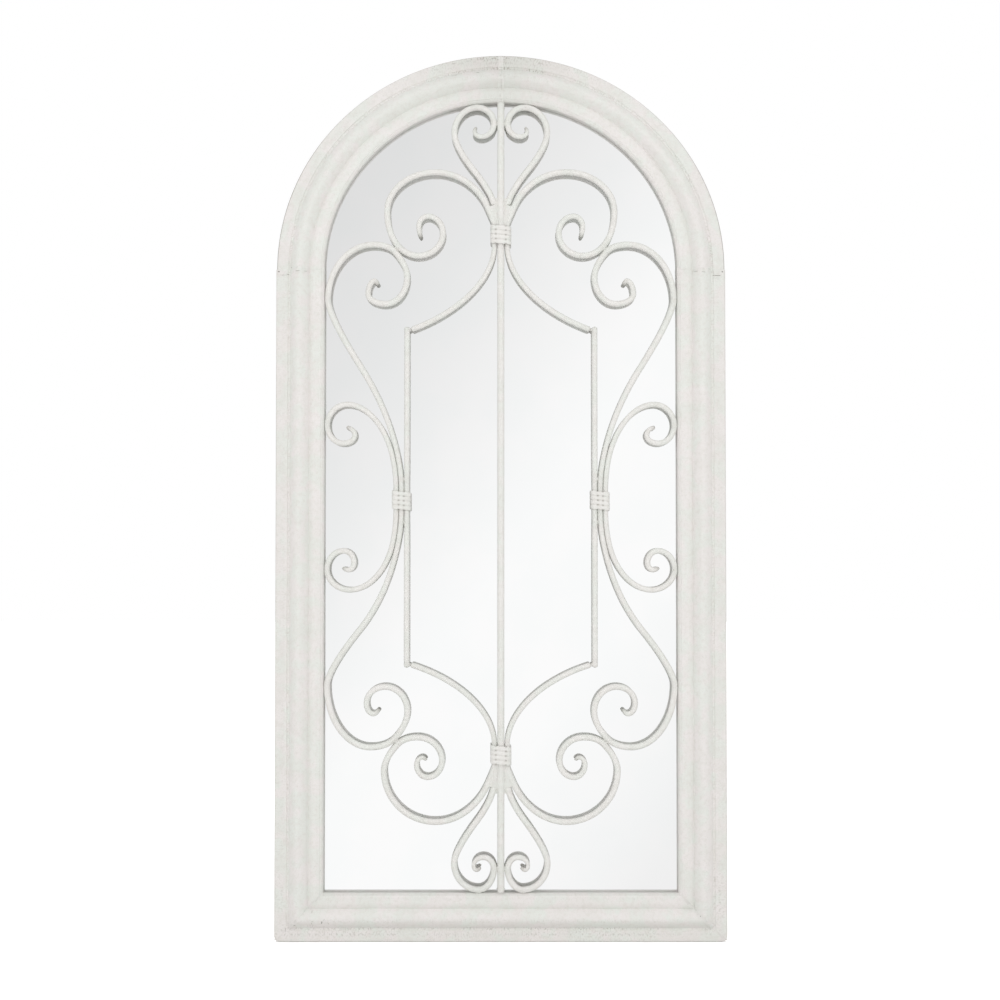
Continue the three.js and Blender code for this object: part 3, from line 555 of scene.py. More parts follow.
def weld_strip(name, place_of, across, half_width, rise, grime, seed):
    """A ground-down weld over a seam of the frame: a low strip that follows the moulding."""
    builder = Builder()
    sunk = 0.12
    rings = []
    for i, p in enumerate(SKIN):
        rear = p.y <= 2.5 or (p.y <= 6 and p.x >= 0.5)
        if rear or (p.x > FACE - 0.5 and p.y < 17):
            continue
        before, after = SKIN[max(i - 1, 0)], SKIN[min(i + 1, len(SKIN) - 1)]
        along = place_of(after.x, after.y) - place_of(before.x, before.y)
        out = along.cross(across).normalized()
        aside = (0, 1) if abs(out.y) > 0.3 else (1 if p.x > FACE - 1 else -1, 0)
        if out.dot(place_of(p.x + aside[0], p.y + aside[1]) - place_of(p.x, p.y)) < 0:
            out = -out
        ring = []
        for j in range(9):
            t = j / 4 - 1
            dome = 1 - t * t
            uneven = noise_at(LENGTHS[i] * 0.35, t * 1.5, seed)
            edge = noise_at(LENGTHS[i] * 0.2, seed, t > 0)
            shift = t * half_width * (1 + 0.25 * edge)
            lift = -sunk + (rise + sunk + 0.1 * uneven) * dome
            spot = place_of(p.x, p.y) + across * (shift / 1000) + out * (lift / 1000)
            darkening = grime * (0.35 + 0.65 * smooth(uneven * 1.4 + 0.3)) * dome
            spot = inside_box(corner_rounded(spot))
            ring.append(builder.point(spot, t * 6, LENGTHS[i], 0.5, darkening))
        rings.append(ring)
    builder.loft(rings, closed=False)
    builder.make(name, FRAME_PAINT)


def build_seams():
    def crown(x, y):
        return at(0, WALL_GAP + y, HEIGHT - 0.15 - x * ARCH_FACE / FACE)

    weld_strip("crown_weld", crown, Vector((1, 0, 0)), 3.2, 0.1, 0.26, 1.0)
    for name, side in SIDES.items():

        def spring(x, y):
            setback = ARCH_SETBACK * (1 - x / FACE)
            return at(side * (HALF - setback - x - 0.1), WALL_GAP + y, SPRING)

        def mitre(x, y):
            return at(side * (HALF - x - 0.05), WALL_GAP + y, x * MITRE + 0.15)

        upwards, over_mitre = Vector((0, 0, 1)), Vector((side * MITRE, 0, 1)).normalized()
        weld_strip(f"spring_weld_{name}", spring, upwards, 1.8, 0.08, 0.12, 2.0 + side)
        weld_strip(f"mitre_weld_{name}", mitre, over_mitre, 2.2, 0.1, 0.2, 4.0 + side)


# ------------------------------------------------------------------ glass and backing board
def panel_outline():
    """Places around the glass with their way inwards, from the left spring over the crown."""
    outline = []
    steps = 90
    for i in range(-steps, steps + 1):
        point, normal = on_arch(abs(i) / steps * pi / 2, ARCH_FACE - GLASS_OVERLAP)
        side = 1 if i > 0 else -1
        outline.append((Vector((side * point.x, point.y)), Vector((side * normal.x, normal.y))))
    low, edge = RAIL - GLASS_OVERLAP, HALF - FACE + GLASS_OVERLAP
    for start, end, steps, inwards, corner in (
        ((edge, SPRING), (edge, low), 24, (-1, 0), (-0.7, 0.7)),
        ((edge, low), (-edge, low), 16, (0, 1), (0.7, 0.7)),
        ((-edge, low), (-edge, SPRING), 24, (1, 0), None),
    ):
        for k in range(1, steps):
            outline.append((Vector(start).lerp(Vector(end), k / steps), Vector(inwards)))
        if corner:
            outline.append((Vector(end), Vector(corner)))
    return outline


def build_panels():
    outline = panel_outline()

    def panel(name, front, thick, finish, replaced, dark):
        builder = Builder()
        back, bevel = front - thick, 0.4
        rings = []
        for depth, inset, grime in (
            (back, 4, 0),
            (back, 0.5, dark),
            (back + bevel, 0.02, dark),
            (front - bevel, 0.02, dark),
            (front, 0.5, dark),
            (front, 4, 0),
        ):
            places = [p + n * inset for p, n in outline]
            rings.append(builder.ring([at(p.x, depth, p.y) for p in places], grime=grime))
        builder.loft(rings)
        builder.make(name, finish, replaced, sharp=30)

    panel("glass_pane", GLASS_FRONT, GLASS_THICK, MIRROR, "mirror_glass", 0.5)
    panel("board_panel", BOARD_FRONT, BOARD_THICK, BOARD, "backing_board", 0.0)


# ------------------------------------------------------------------ clips, screws
def on_clip(place, out, depth):
    x, z, out_x, out_z = place
    return at(x + out * out_x, depth, z + out * out_z)


def clip_places(side):
    point, normal = on_arch(radians(42), ARCH_FACE - GLASS_OVERLAP)
    inset = FACE - GLASS_OVERLAP
    return {
        "stile_low": (side * (HALF - inset), 0.25 * HEIGHT, side, 0),
        "stile_high": (side * (HALF - inset), 0.6 * HEIGHT, side, 0),
        "arch": (side * point.x, point.y, -side * normal.x, -normal.y),
        "rail": (side * 0.55 * OPEN, RAIL - GLASS_OVERLAP, 0, -1),
    }


def rounded(corners, radii, steps=5):
    """A polygon whose corners are rounded by these radii."""
    made = []
    for i, corner in enumerate(corners):
        here = Vector(corner)
        back, ahead = Vector(corners[i - 1]) - here, Vector(corners[(i + 1) % len(corners)]) - here
        radius = radii[i]
        if radius <= 0:
            made.append(here)
            continue
        a, b = back.normalized(), ahead.normalized()
        half = acos(max(-1, min(1, a.dot(b)))) / 2
        reach = radius / tan(half)
        centre = here + (a + b).normalized() * (radius / sin(half))
        start, end = here + a * reach - centre, here + b * reach - centre
        sweep_angle = start.angle_signed(end)
        for k in range(steps + 1):
            made.append(centre + Matrix.Rotation(-sweep_angle * k / steps, 2) @ start)
    return made


def build_clips():
    thick, foot, tongue, half_width, bevel = 1.2, 7.5, 12, 7, 0.25
    riser = SEAT + thick
    back = BOARD_FRONT - BOARD_THICK - SEAT
    profile = [
        (SEAT, GLASS_FRONT),
        (foot, GLASS_FRONT),
        (foot, GLASS_FRONT - thick),
        (riser, GLASS_FRONT - thick),
        (riser, back - thick),
        (-tongue, back - thick),
        (-tongue, back),
        (SEAT, back),
    ]
    outline = rounded(profile, [1.1, 0.35, 0.35, 0.2] * 2)
    flat = half_width - bevel
    cuts = ((-half_width, bevel), (-flat, 0), (flat, 0), (half_width, bevel))
    for name, side in SIDES.items():
        for end, place in clip_places(side).items():
            builder = Builder()
            rings = []
            along = Vector((-place[3], 0, place[2])) / 1000
            for shift, inset in cuts:
                outs = [p.x - copysign(inset * (abs(p.x) > 3), p.x) for p in outline]
                places = [on_clip(place, out, p.y) for out, p in zip(outs, outline)]
                rings.append(builder.ring([spot + along * shift for spot in places]))
            builder.loft(rings)
            builder.make(f"spring_clip_{end}_{name}", ZINC, f"clip_{end}_{name}")
            hole = on_clip(place, (riser + foot) / 2, GLASS_FRONT - thick)
            screw(f"pan_screw_{end}_{name}", hole, f"clip_screw_{end}_{name}")


def circle(builder, centre, radius, shift, sides):
    """A ring about the wall's normal, moved by this towards the wall."""
    ways = [way(360 * j / sides) * radius for j in range(sides)]
    return builder.ring([centre + Vector((w.x, shift, w.y)) / 1000 for w in ways])


def screw(name, centre, replaced):
    """A pan head with a cross recess on a short shank, its axis along the wall's normal."""
    builder = Builder()
    sides, radius, shank, tip = 32, 2.75, 1.5, -6.6
    shoulder, dome, recess_half, recess_deep = 0.3, 1.5, 0.32, 0.75
    rim = shoulder + 0.25
    profile = [(shank, tip), (shank, shoulder), (radius - 0.1, shoulder), (radius, rim)]
    for k in range(1, 6):
        t = k / 5
        profile.append((radius * (1 - 0.3 * t * t), rim + dome * sin(t * 1.45)))
    top = profile[-1][1]
    rings = [circle(builder, centre, r, y, sides) for r, y in profile]
    for r in (1.6, 1.3, 1.0, 0.7, 0.45, 0.2):
        ring = []
        for j in range(sides):
            w = way(360 * j / sides) * r
            recess = min(abs(w.x), abs(w.y)) < recess_half and r < 1.5
            y = top + 0.04 * (1.6 - r) - recess * recess_deep * smooth((1.55 - r) / 0.4)
            ring.append(builder.point(centre + Vector((w.x, y, w.y)) / 1000, grime=0.6 * recess))
        rings.append(ring)
    builder.loft(rings)
    builder.make(name, ZINC, replaced, sharp=35)


# ------------------------------------------------------------------ rods, as in the solids
def knot(x, z, heading, radius=ROD):
    return (x, z, heading, radius)


def way(heading):
    return Vector((cos(radians(heading)), sin(radians(heading))))


def cross2(a, b):
    return a.x * b.y - a.y * b.x


def bend(a, b):
    """Bezier handles of the arc between two knots, and its turn."""
    turn = (b[2] - a[2] + 180) % 360 - 180
    start, end = Vector(a[:2]), Vector(b[:2])
    out, into = way(a[2]), way(b[2])
    chord = end - start
    sine = cross2(out, into)
    reach = [chord.length / 3] * 2
    if abs(sine) > 0.02:
        tangents = [cross2(chord, into) / sine, cross2(out, chord) / sine]
        if min(tangents) > 0:
            angle = radians(abs(turn))
            share = (4 / 3) * tan(angle / 4) / tan(angle / 2)
            reach = [length * share for length in tangents]
    return (start, start + out * reach[0], end - into * reach[1], end), abs(turn)


def bezier(points, t):
    a, b, c, d = points
    s = 1 - t
    return a * s**3 + b * (3 * s * s * t) + c * (3 * s * t * t) + d * t**3


def rod_line(knots):
    """Dense places along a rod with its radius: (point, radius)."""
    line = []
    for i, (a, b) in enumerate(zip(knots, knots[1:])):
        handles, turn = bend(a, b)
        spots = [bezier(handles, k / 8) for k in range(9)]
        length = sum((after - before).length for before, after in zip(spots, spots[1:]))
        steps = max(4, ceil(turn / 5), ceil(length / 3.2))
        for k in range(0 if i == 0 else 1, steps + 1):
            t = k / steps
            line.append((bezier(handles, t), a[3] + (b[3] - a[3]) * smooth(t)))
    return line


def across(share):
    return share * OPEN


def high(share):
    return TOP_COLLAR + share * TOP_INSET


def low(share):
    return LOW_COLLAR - share * LOW_INSET


def up(x, z, heading, radius=ROD):
    """A knot by its shares of the opening's half width and of the height over the top collar."""
    return knot(across(x), high(z), heading, radius)


def down(x, z, heading, radius=ROD):
    return knot(across(x), low(z), heading, radius)


def above_side(share):
    return SIDE_COLLAR + share * (TOP_COLLAR - SIDE_COLLAR)


def below_side(share):
    return SIDE_COLLAR - share * (SIDE_COLLAR - LOW_COLLAR)


def above(x, z, heading, radius=ROD):
    return knot(across(x), above_side(z), heading, radius)


def below(x, z, heading, radius=ROD):
    return knot(across(x), below_side(z), heading, radius)


WIRE_WIDE, WIRE_THICK, WIRE_GAP, WIRE_TURNS = 4.5, 1.5, 0.64, 4
PITCH = WIRE_WIDE + WIRE_GAP
COLLAR_HALF = (WIRE_TURNS / 2 - 0.25) * PITCH + WIRE_WIDE / 2
BESIDE_BAR = BAR + SEAT + ROD
NECK_X = BAR + SEAT + NECK
NECK_STEP = 2 * NECK + SEAT
BOW_X = LYRE_X + NECK_STEP
SCROLL_X = BOW_X + NECK_STEP
ROD_STEP = 2 * ROD + SEAT
PARTING, PARTING_TURN = 47, 11


def left_of(x, z, heading, distance):
    left = way(heading + 90)
    return x + distance * left.x, z + distance * left.y


def partings(sense):
    shift = (PARTING - COLLAR_HALF) * tan(radians(PARTING_TURN) / 2)
    heading = 270 - sense * PARTING_TURN
    bow = knot(BOW_X + shift, SIDE_COLLAR + sense * PARTING, heading, NECK)
    return bow, knot(*left_of(bow[0], bow[1], heading, NECK_STEP), heading, NECK)


def under_arch(turn, radius):
    point, normal = on_arch(turn, ARCH_FACE + SEAT + radius)
    return knot(point.x, point.y, degrees(atan2(-normal.x, normal.y)), radius)


def beside_opening(z, radius):
    inset = SEAT + radius
    if z <= SPRING:
        return knot(OPEN - inset, z, 90, radius)
    lowest, highest = 0.0, pi / 2
    for _ in range(40):
        middle = (lowest + highest) / 2
        if on_arch(middle, ARCH_FACE + inset)[0].y > z:
            lowest = middle
        else:
            highest = middle
    return under_arch((lowest + highest) / 2, radius)


def downwards(place):
    return (place[0], place[1], place[2] + 180, place[3])


def heart_foot(z, spread):
    outwards = ROD_STEP * abs(sin(radians(spread)))
    scroll = knot(BESIDE_BAR + outwards, z, spread)
    sense = 1 if spread < 180 else -1
    return scroll, left_of(scroll[0], scroll[1], spread, sense * ROD_STEP)


def weld_knot(weld, sense, heading):
    x, z = left_of(weld[0], weld[1], weld[2], sense * ROD_STEP / 2)
    return knot(x, z, heading)


UPPER_PARTING, LOWER_PARTING = partings(1), partings(-1)
UPPER_WELD = (across(0.592), high(-0.104), 47)
LOWER_WELD = (across(0.591), low(-0.0981), 135)
UPPER_FOOT = heart_foot(high(0.205), 67)
LOWER_FOOT = heart_foot(low(0.2079), 294)
# Heights where the hearts' curls and the lyre's curves end, and where side scrolls touch the frame.
HEART_HIGH, HEART_LOW = high(0.84), low(0.8256)
LYRE_HIGH, LYRE_LOW = high(-0.711), low(-0.6569)
BOW_HIGH, BOW_LOW = high(-0.483), low(-0.505)
C_HIGH, C_LOW = above_side(0.283), below_side(0.271)


def shoulder_x(heading):
    return LYRE_X - SLIM - SEAT - ROD * abs(sin(radians(heading)))


LYRE_END = SLIM + SEAT
RODS = {
    "upper_scroll": [
        knot(shoulder_x(160), LYRE_HIGH, 160, SLIM),
        knot(NECK_X, TOP_COLLAR - COLLAR_HALF, 90, NECK),
        knot(NECK_X, TOP_COLLAR + COLLAR_HALF, 90, NECK),
        UPPER_FOOT[0],
        up(0.372, 0.474, 0),
        up(0.646, 0.177, 270),
        weld_knot(UPPER_WELD, 1, UPPER_WELD[2] + 180),
        up(0.468, -0.155, 180),
        up(0.329, 0.014, 90),
        up(0.414, 0.142, 0, SLIM),
        up(0.466, 0.064, 270, NECK),
        up(0.447, -0.009, 200, TIP),
    ],
    "lower_scroll": [
        knot(shoulder_x(197), LYRE_LOW, 197, SLIM),
        knot(NECK_X, LOW_COLLAR + COLLAR_HALF, 270, NECK),
        knot(NECK_X, LOW_COLLAR - COLLAR_HALF, 270, NECK),
        LOWER_FOOT[0],
        down(0.368, 0.4854, 0),
        down(0.659, 0.1157, 90),
        weld_knot(LOWER_WELD, 1, LOWER_WELD[2]),
        down(0.47, -0.1284, 180),
        down(0.331, 0.0412, 270),
        down(0.413, 0.1618, 0, SLIM),
        down(0.475, 0.0716, 90, NECK),
        down(0.442, 0.0186, 180, TIP),
        down(0.425, 0.0412, 270, TIP),
    ],
    "top_heart_scroll": [
        knot(*UPPER_FOOT[1], 83),
        up(0.156, 0.493, 51),
        up(0.264, 0.772, 90),
        under_arch(0.15, ROD),
        knot(BESIDE_BAR, HEART_HIGH, 270),
        up(0.11, 0.742, 0, NECK),
        up(0.149, 0.778, 90, TIP),
        up(0.134, 0.803, 180, TIP),
    ],
    "bottom_heart_scroll": [
        knot(*LOWER_FOOT[1], 280),
        down(0.132, 0.4726, 307),
        down(0.263, 0.7854, 270),
        knot(across(0.126), RAIL + SEAT + ROD, 180),
        knot(BESIDE_BAR, HEART_LOW, 90),
        down(0.0975, 0.7413, 0, SLIM),
        down(0.153, 0.804, 270, TIP),
        down(0.136, 0.8334, 180, TIP),
        down(0.121, 0.8099, 90, TIP),
    ],
    "side_bow_scroll": [
        up(0.695, -0.374, 60, TIP),
        up(0.716, -0.344, 0, NECK),
        up(0.753, -0.443, 270, SLIM),
        up(0.655, -0.517, 180),
        up(0.532, -0.317, 90),
        weld_knot(UPPER_WELD, -1, UPPER_WELD[2]),
        up(0.724, -0.071, 0),
        downwards(beside_opening(BOW_HIGH, ROD)),
        above(0.797, 0.505, 237.5),
        UPPER_PARTING[0],
        knot(BOW_X, SIDE_COLLAR + COLLAR_HALF, 270, NECK),
        knot(BOW_X, SIDE_COLLAR - COLLAR_HALF, 270, NECK),
        LOWER_PARTING[0],
        below(0.798, 0.51, 309),
        downwards(beside_opening(BOW_LOW, ROD)),
        down(0.735, -0.0559, 180),
        weld_knot(LOWER_WELD, -1, LOWER_WELD[2]),
        down(0.527, -0.3177, 90),
        down(0.654, -0.4961, 0),
        down(0.758, -0.3755, 270, SLIM),
        down(0.719, -0.2991, 180, NECK),
        down(0.688, -0.3363, 110, TIP),
    ],
    "side_c_scroll": [
        above(0.875, 0.274, 180, TIP),
        above(0.827, 0.245, 270, NECK),
        above(0.892, 0.215, 0, SLIM),
        beside_opening(C_HIGH, SLIM),
        above(0.87, 0.361, 180, SLIM),
        UPPER_PARTING[1],
        knot(SCROLL_X, SIDE_COLLAR + COLLAR_HALF, 270, NECK),
        knot(SCROLL_X, SIDE_COLLAR - COLLAR_HALF, 270, NECK),
        LOWER_PARTING[1],
        below(0.853, 0.352, 0, SLIM),
        beside_opening(C_LOW, SLIM),
        below(0.89, 0.198, 180, SLIM),
        below(0.83, 0.245, 270, SLIM),
        below(0.862, 0.273, 0, NECK),
        below(0.89, 0.261, 70, TIP),
    ],
    "lyre_side_bar": [
        knot(LYRE_X, LYRE_LOW - LYRE_END, 90, SLIM),
        knot(LYRE_X, SIDE_COLLAR - PARTING, 90, SLIM),
        knot(LYRE_X, SIDE_COLLAR - COLLAR_HALF, 90, NECK),
        knot(LYRE_X, SIDE_COLLAR + COLLAR_HALF, 90, NECK),
        knot(LYRE_X, SIDE_COLLAR + PARTING, 90, SLIM),
        knot(LYRE_X, LYRE_HIGH + LYRE_END, 90, SLIM),
    ],
}
# Where rods are welded to each other or to the frame: place, the weld's way, length and width.
HEART_TOP = under_arch(0.15, ROD + SEAT)
OPENING_WELDS = [beside_opening(z, 0) for z in (BOW_HIGH, BOW_LOW, C_HIGH, C_LOW)]
WELDS = [
    (*UPPER_WELD, 7, 2.4),
    (*LOWER_WELD, 7, 2.4),
    (BAR + 0.15, HEART_HIGH, 90, 6, 1.6),
    (BAR + 0.15, HEART_LOW, 90, 6, 1.6),
    (LYRE_X - SLIM, LYRE_HIGH, 90, 4, 1.8),
    (LYRE_X - SLIM, LYRE_LOW, 90, 4, 1.8),
    (across(0.126), RAIL + 0.8, 0, 6, 1.4),
    (LYRE_X + SLIM, SIDE_COLLAR + 24, 90, 5, 1.1),
    (LYRE_X + SLIM, SIDE_COLLAR - 24, 90, 5, 1.1),
]
WORN_SPOTS = [(x, z, 7) for x, z, *_ in WELDS]
WORN_SPOTS += [(p[0], p[1], 8) for p in OPENING_WELDS]
WORN_SPOTS += [(BOW_X, SIDE_COLLAR, 15), (0, TOP_COLLAR, 17), (0, LOW_COLLAR, 17)]
WORN_SPOTS += [(HEART_TOP[0], HEART_TOP[1], 9), (0, OPEN_TOP, 10), (0, RAIL, 10)]


def rod_wear(x, z):
    return max(bump_of(hypot(abs(x) - sx, z - sz), reach) for sx, sz, reach in WORN_SPOTS)


DOME = 0.75  # a rod end's height over its radius


def rounded_end(station, sense):
    """Four stations that close a rod's end with a dome, from its tip inwards."""
    point, tangent, radius, along = station
    made = []
    for k in range(4):
        lift = sin(pi / 8 * k)
        draw = sqrt(1 - (1 - lift) ** 2) if k else 0.12
        shift = sense * radius * DOME * lift
        made.append((point + tangent * shift, tangent, radius * draw, along))
    return made


def tube(builder, line, side=1, sides=16, seed=0.0, flat_ends=False):
    """A round rod along a planar line, with rounded ends and a smith's slight unevenness."""
    stations = []
    along = 0.0
    for i, (point, radius) in enumerate(line):
        before, after = line[max(i - 1, 0)][0], line[min(i + 1, len(line) - 1)][0]
        if i:
            along += (point - line[i - 1][0]).length
        stations.append((point, (after - before).normalized(), radius, along))
    curls = []
    if not flat_ends:
        ends = (line[0], line[-1])
        curls = [end for end, thin in ends if thin <= NECK]
        head, tail = rounded_end(stations[0], 1), rounded_end(stations[-1], -1)
        inner = [s for s in stations if all((s[0] - end).length > DOME * r for end, r in ends)]
        stations = head + inner + tail[::-1]
    rings = []
    for point, tangent, radius, along in stations:
        worn = rod_wear(point.x, point.y)
        tip = max((bump_of((point - end).length, 4) for end in curls), default=0)
        finish = (min(1, 0.08 + 0.55 * worn), min(1, 0.06 * worn + 0.4 * tip), 0.15 * worn)
        ring = []
        for k in range(sides):
            a = 2 * pi * k / sides
            c, s = cos(a), sin(a)
            uneven = 0.99 - 0.016 * noise_at(along * 0.06, c * 0.8 + seed, s * 0.8)
            r = radius * min(1.0, uneven)
            x = side * (point.x - tangent.y * r * c)
            place = at(x, ROD_DEPTH + r * s, point.y + tangent.x * r * c)
            ring.append(builder.point(place, along, a * radius, *finish))
        rings.append(ring)
    builder.loft(rings)


def build_rods():
    builder = Builder()
    span = OPEN_TOP - RAIL - 2 * SEAT
    line = [(Vector((0, RAIL + SEAT + span * i / 260)), BAR) for i in range(261)]
    tube(builder, line, seed=9, flat_ends=True, sides=20)
    builder.make("bar_centre", ROD_PAINT, "centre_bar")
    for number, (scroll, knots) in enumerate(RODS.items()):
        line = rod_line(knots)
        for name, side in SIDES.items():
            builder = Builder()
            tube(builder, line, side, seed=number + side * 0.37)
            builder.make(f"{scroll}_{name}_rod", ROD_PAINT, f"{scroll}_{name}")


def blob(builder, place, size, side, seed, grime=0.25, depth=ROD_DEPTH, fine=3):
    """A lump: place is x, z and heading; size is its length, half width and half height."""
    x, z, heading = place
    length, width, rise = size
    ahead = way(heading)
    lump = bmesh.new()
    bmesh.ops.create_icosphere(lump, subdivisions=fine, radius=1)
    first = len(builder.points)
    for v in lump.verts:
        uneven = 1 + 0.16 * noise.noise(v.co * 2.3 + Vector((seed, 0, 0)))
        along, over = v.co.x * length / 2 * uneven, v.co.y * width * uneven
        px = x + ahead.x * along - ahead.y * over
        pz = z + ahead.y * along + ahead.x * over
        darkening = smooth(0.5 + noise.noise(v.co * 3 + Vector((0, seed, 0))))
        spot = at(side * px, depth + v.co.z * rise * uneven, pz)
        builder.point(spot, along, over, 0.9, grime * (0.4 + 0.6 * darkening))
    for f in lump.faces:
        builder.faces.append(tuple(first + v.index for v in f.verts))
    lump.free()


def x_on(line, z):
    """Where a rod first passes this height."""
    for (a, _), (b, _) in zip(line, line[1:]):
        if a.y != b.y and min(a.y, b.y) <= z <= max(a.y, b.y):
            return a.x + (b.x - a.x) * (z - a.y) / (b.y - a.y)
    return line[0][0].x


def fill_crotch(builder, scroll, heart, start, side, seed):
    """The puddle of weld between the bar and a scroll, from the collar to past the heart's foot."""
    foot = heart[0][0].y
    sense = 1 if foot > start else -1
    end = foot + sense * 8
    rings = []
    steps = 20
    for i in range(steps + 1):
        z = start + (end - start) * i / steps
        past = smooth((z - foot) * sense / 8)
        outer = x_on(scroll, z) if (z - foot) * sense < 0 else x_on(heart, z)
        inner = BAR - 1.4
        middle, half = (inner + outer) / 2, (outer - inner) / 2 + 0.3
        deep = 2.9 - 2.1 * past + 0.12 * noise_at(z * 0.3, seed, side)
        blotch = smooth(noise_at(z * 0.6, seed, 1) + 0.5)
        ring = []
        for k in range(18):
            a = 2 * pi * k / 18
            x = middle + half * squared(cos(a), 0.8)
            flute = 0.35 * bump_of(x - middle, half * 0.45)
            out = (deep - flute) * squared(sin(a), 0.7)
            darkening = 0.05 + 0.22 * bump_of(x - BAR - 0.4, 0.5) * blotch
            ring.append(builder.point(at(side * x, ROD_DEPTH + out, z), z, a * 3, 0.3, darkening))
        rings.append(ring)
    builder.loft(rings)


def build_welds():
    lines = {name: rod_line(knots) for name, knots in RODS.items()}
    top, bottom = TOP_COLLAR + COLLAR_HALF - 1, LOW_COLLAR - COLLAR_HALF + 1
    for name, side in SIDES.items():
        builder = Builder()
        fill_crotch(builder, lines["upper_scroll"], lines["top_heart_scroll"], top, side, 1.0)
        fill_crotch(builder, lines["lower_scroll"], lines["bottom_heart_scroll"], bottom, side, 6.0)
        for number, (*place, length, width) in enumerate(WELDS):
            blob(builder, place, (length, width, 2.3), side, number * 1.7 + side)
        for number, (x, z, heading, _) in enumerate(OPENING_WELDS):
            place = (*left_of(x, z, heading, 1.4), heading)
            blob(builder, place, (6, 1.5, 2.2), side, number * 2.3 + side, 0.3)
        x, z, heading, _ = HEART_TOP
        blob(builder, (x, z + 2.6, heading), (7, 1.4, 2.2), side, 5.1 + side, 0.3)
        builder.make(f"grille_welds_{name}", ROD_PAINT)
    ends = Builder()
    blob(ends, (0, OPEN_TOP - 1.2, 0), (9.4, 1.1, 4.2), 1, 3.3, 0.2)
    blob(ends, (0, RAIL + 1.2, 0), (9.4, 1.1, 4.2), 1, 7.7, 0.3)
    ends.make("bar_end_welds", ROD_PAINT)


def stadium(length, straight, middle):
    """After this length of wire around the rods: x, depth, and the way outwards in both."""
    half = 2 * straight + pi * middle
    sense = 1 if length < half else -1
    length %= half
    if length < straight:
        spot = (length, -middle, 0, -1)
    elif length < half - straight:
        turn = (length - straight) / middle - pi / 2
        c, s = cos(turn), sin(turn)
        spot = (straight + middle * c, middle * s, c, s)
    else:
        spot = (half - length, middle, 0, 1)
    return [sense * v for v in spot]


def build_collars():
    section = []
    for k in range(14):
        a = 2 * pi * k / 14
        along = squared(cos(a), 0.8) * (PITCH + 0.2) / 2
        section.append((along, squared(sin(a), 0.75) * WIRE_THICK / 2))

    def collar(name, x, z, straight, radius, dots, seed):
        builder = Builder()
        middle = radius + SEAT + WIRE_THICK / 2 + 0.05
        around = 4 * straight + 2 * pi * middle
        rings = []
        steps = 72 * WIRE_TURNS
        for step in range(steps + 1):
            turn = step / 72
            px, pd, ox, od = stadium((turn % 1.0) * around, straight, middle)
            climb = PITCH * (turn - WIRE_TURNS / 2)
            climb += 0.1 * noise_at(turn * 2.1, seed, 0)
            draw = 1 if 3 < step < steps - 3 else 0.6
            ring = []
            for along, out in section:
                edge = min(1, abs(along) / (WIRE_WIDE / 2)) ** 3
                # Painted shade: darker towards the wire's edges, where the turns meet, and most at
                # the rod's edges, where the gaps between turns lie in shadow.
                darkening = edge * (0.06 + 0.55 * bump_of(abs(px) - dots, 1.1))
                px_out, pd_out = px + out * draw * ox, pd + out * draw * od
                place = at(x + px_out, ROD_DEPTH + pd_out, z + climb + along * draw)
                ring.append(builder.point(place, turn * around, along, 0.3 + 0.3 * edge, darkening))
            rings.append(ring)
        builder.loft(rings)
        builder.make(f"binding_{name}", ROD_PAINT, f"collar_{name}")

    straight = NECK_X + NECK - BAR
    collar("top", 0, TOP_COLLAR, straight, BAR, BAR + 1.6, 0.3)
    collar("bottom", 0, LOW_COLLAR, straight, BAR, BAR + 1.6, 1.3)
    for name, side in SIDES.items():
        collar(name, side * BOW_X, SIDE_COLLAR, NECK_STEP, NECK, NECK, 2.3 + side)


def inwards_at(x, z):
    """How far a place on the frame's front lies in from its outline."""
    if z > SPRING:
        turn = atan2(abs(x) / (HALF - ARCH_SETBACK), (z - SPRING) / ARCH_RISE)
        outer, normal = on_arch(turn, 0)
        return (Vector((abs(x), z)) - outer).dot(normal) * FACE / ARCH_FACE
    return min(HALF - abs(x), z / MITRE)


def front_at(x, z):
    """The moulding's depth from the wall at a place on its front."""
    inwards = inwards_at(x, z)
    for before, after in zip(SKIN, SKIN[1:]):
        if before.x <= inwards < after.x and before.y > GLASS_FLANGE_HIGH:
            share = (inwards - before.x) / (after.x - before.x)
            return WALL_GAP + before.y + (after.y - before.y) * share
    return WALL_GAP + LIP_HIGH - 0.5


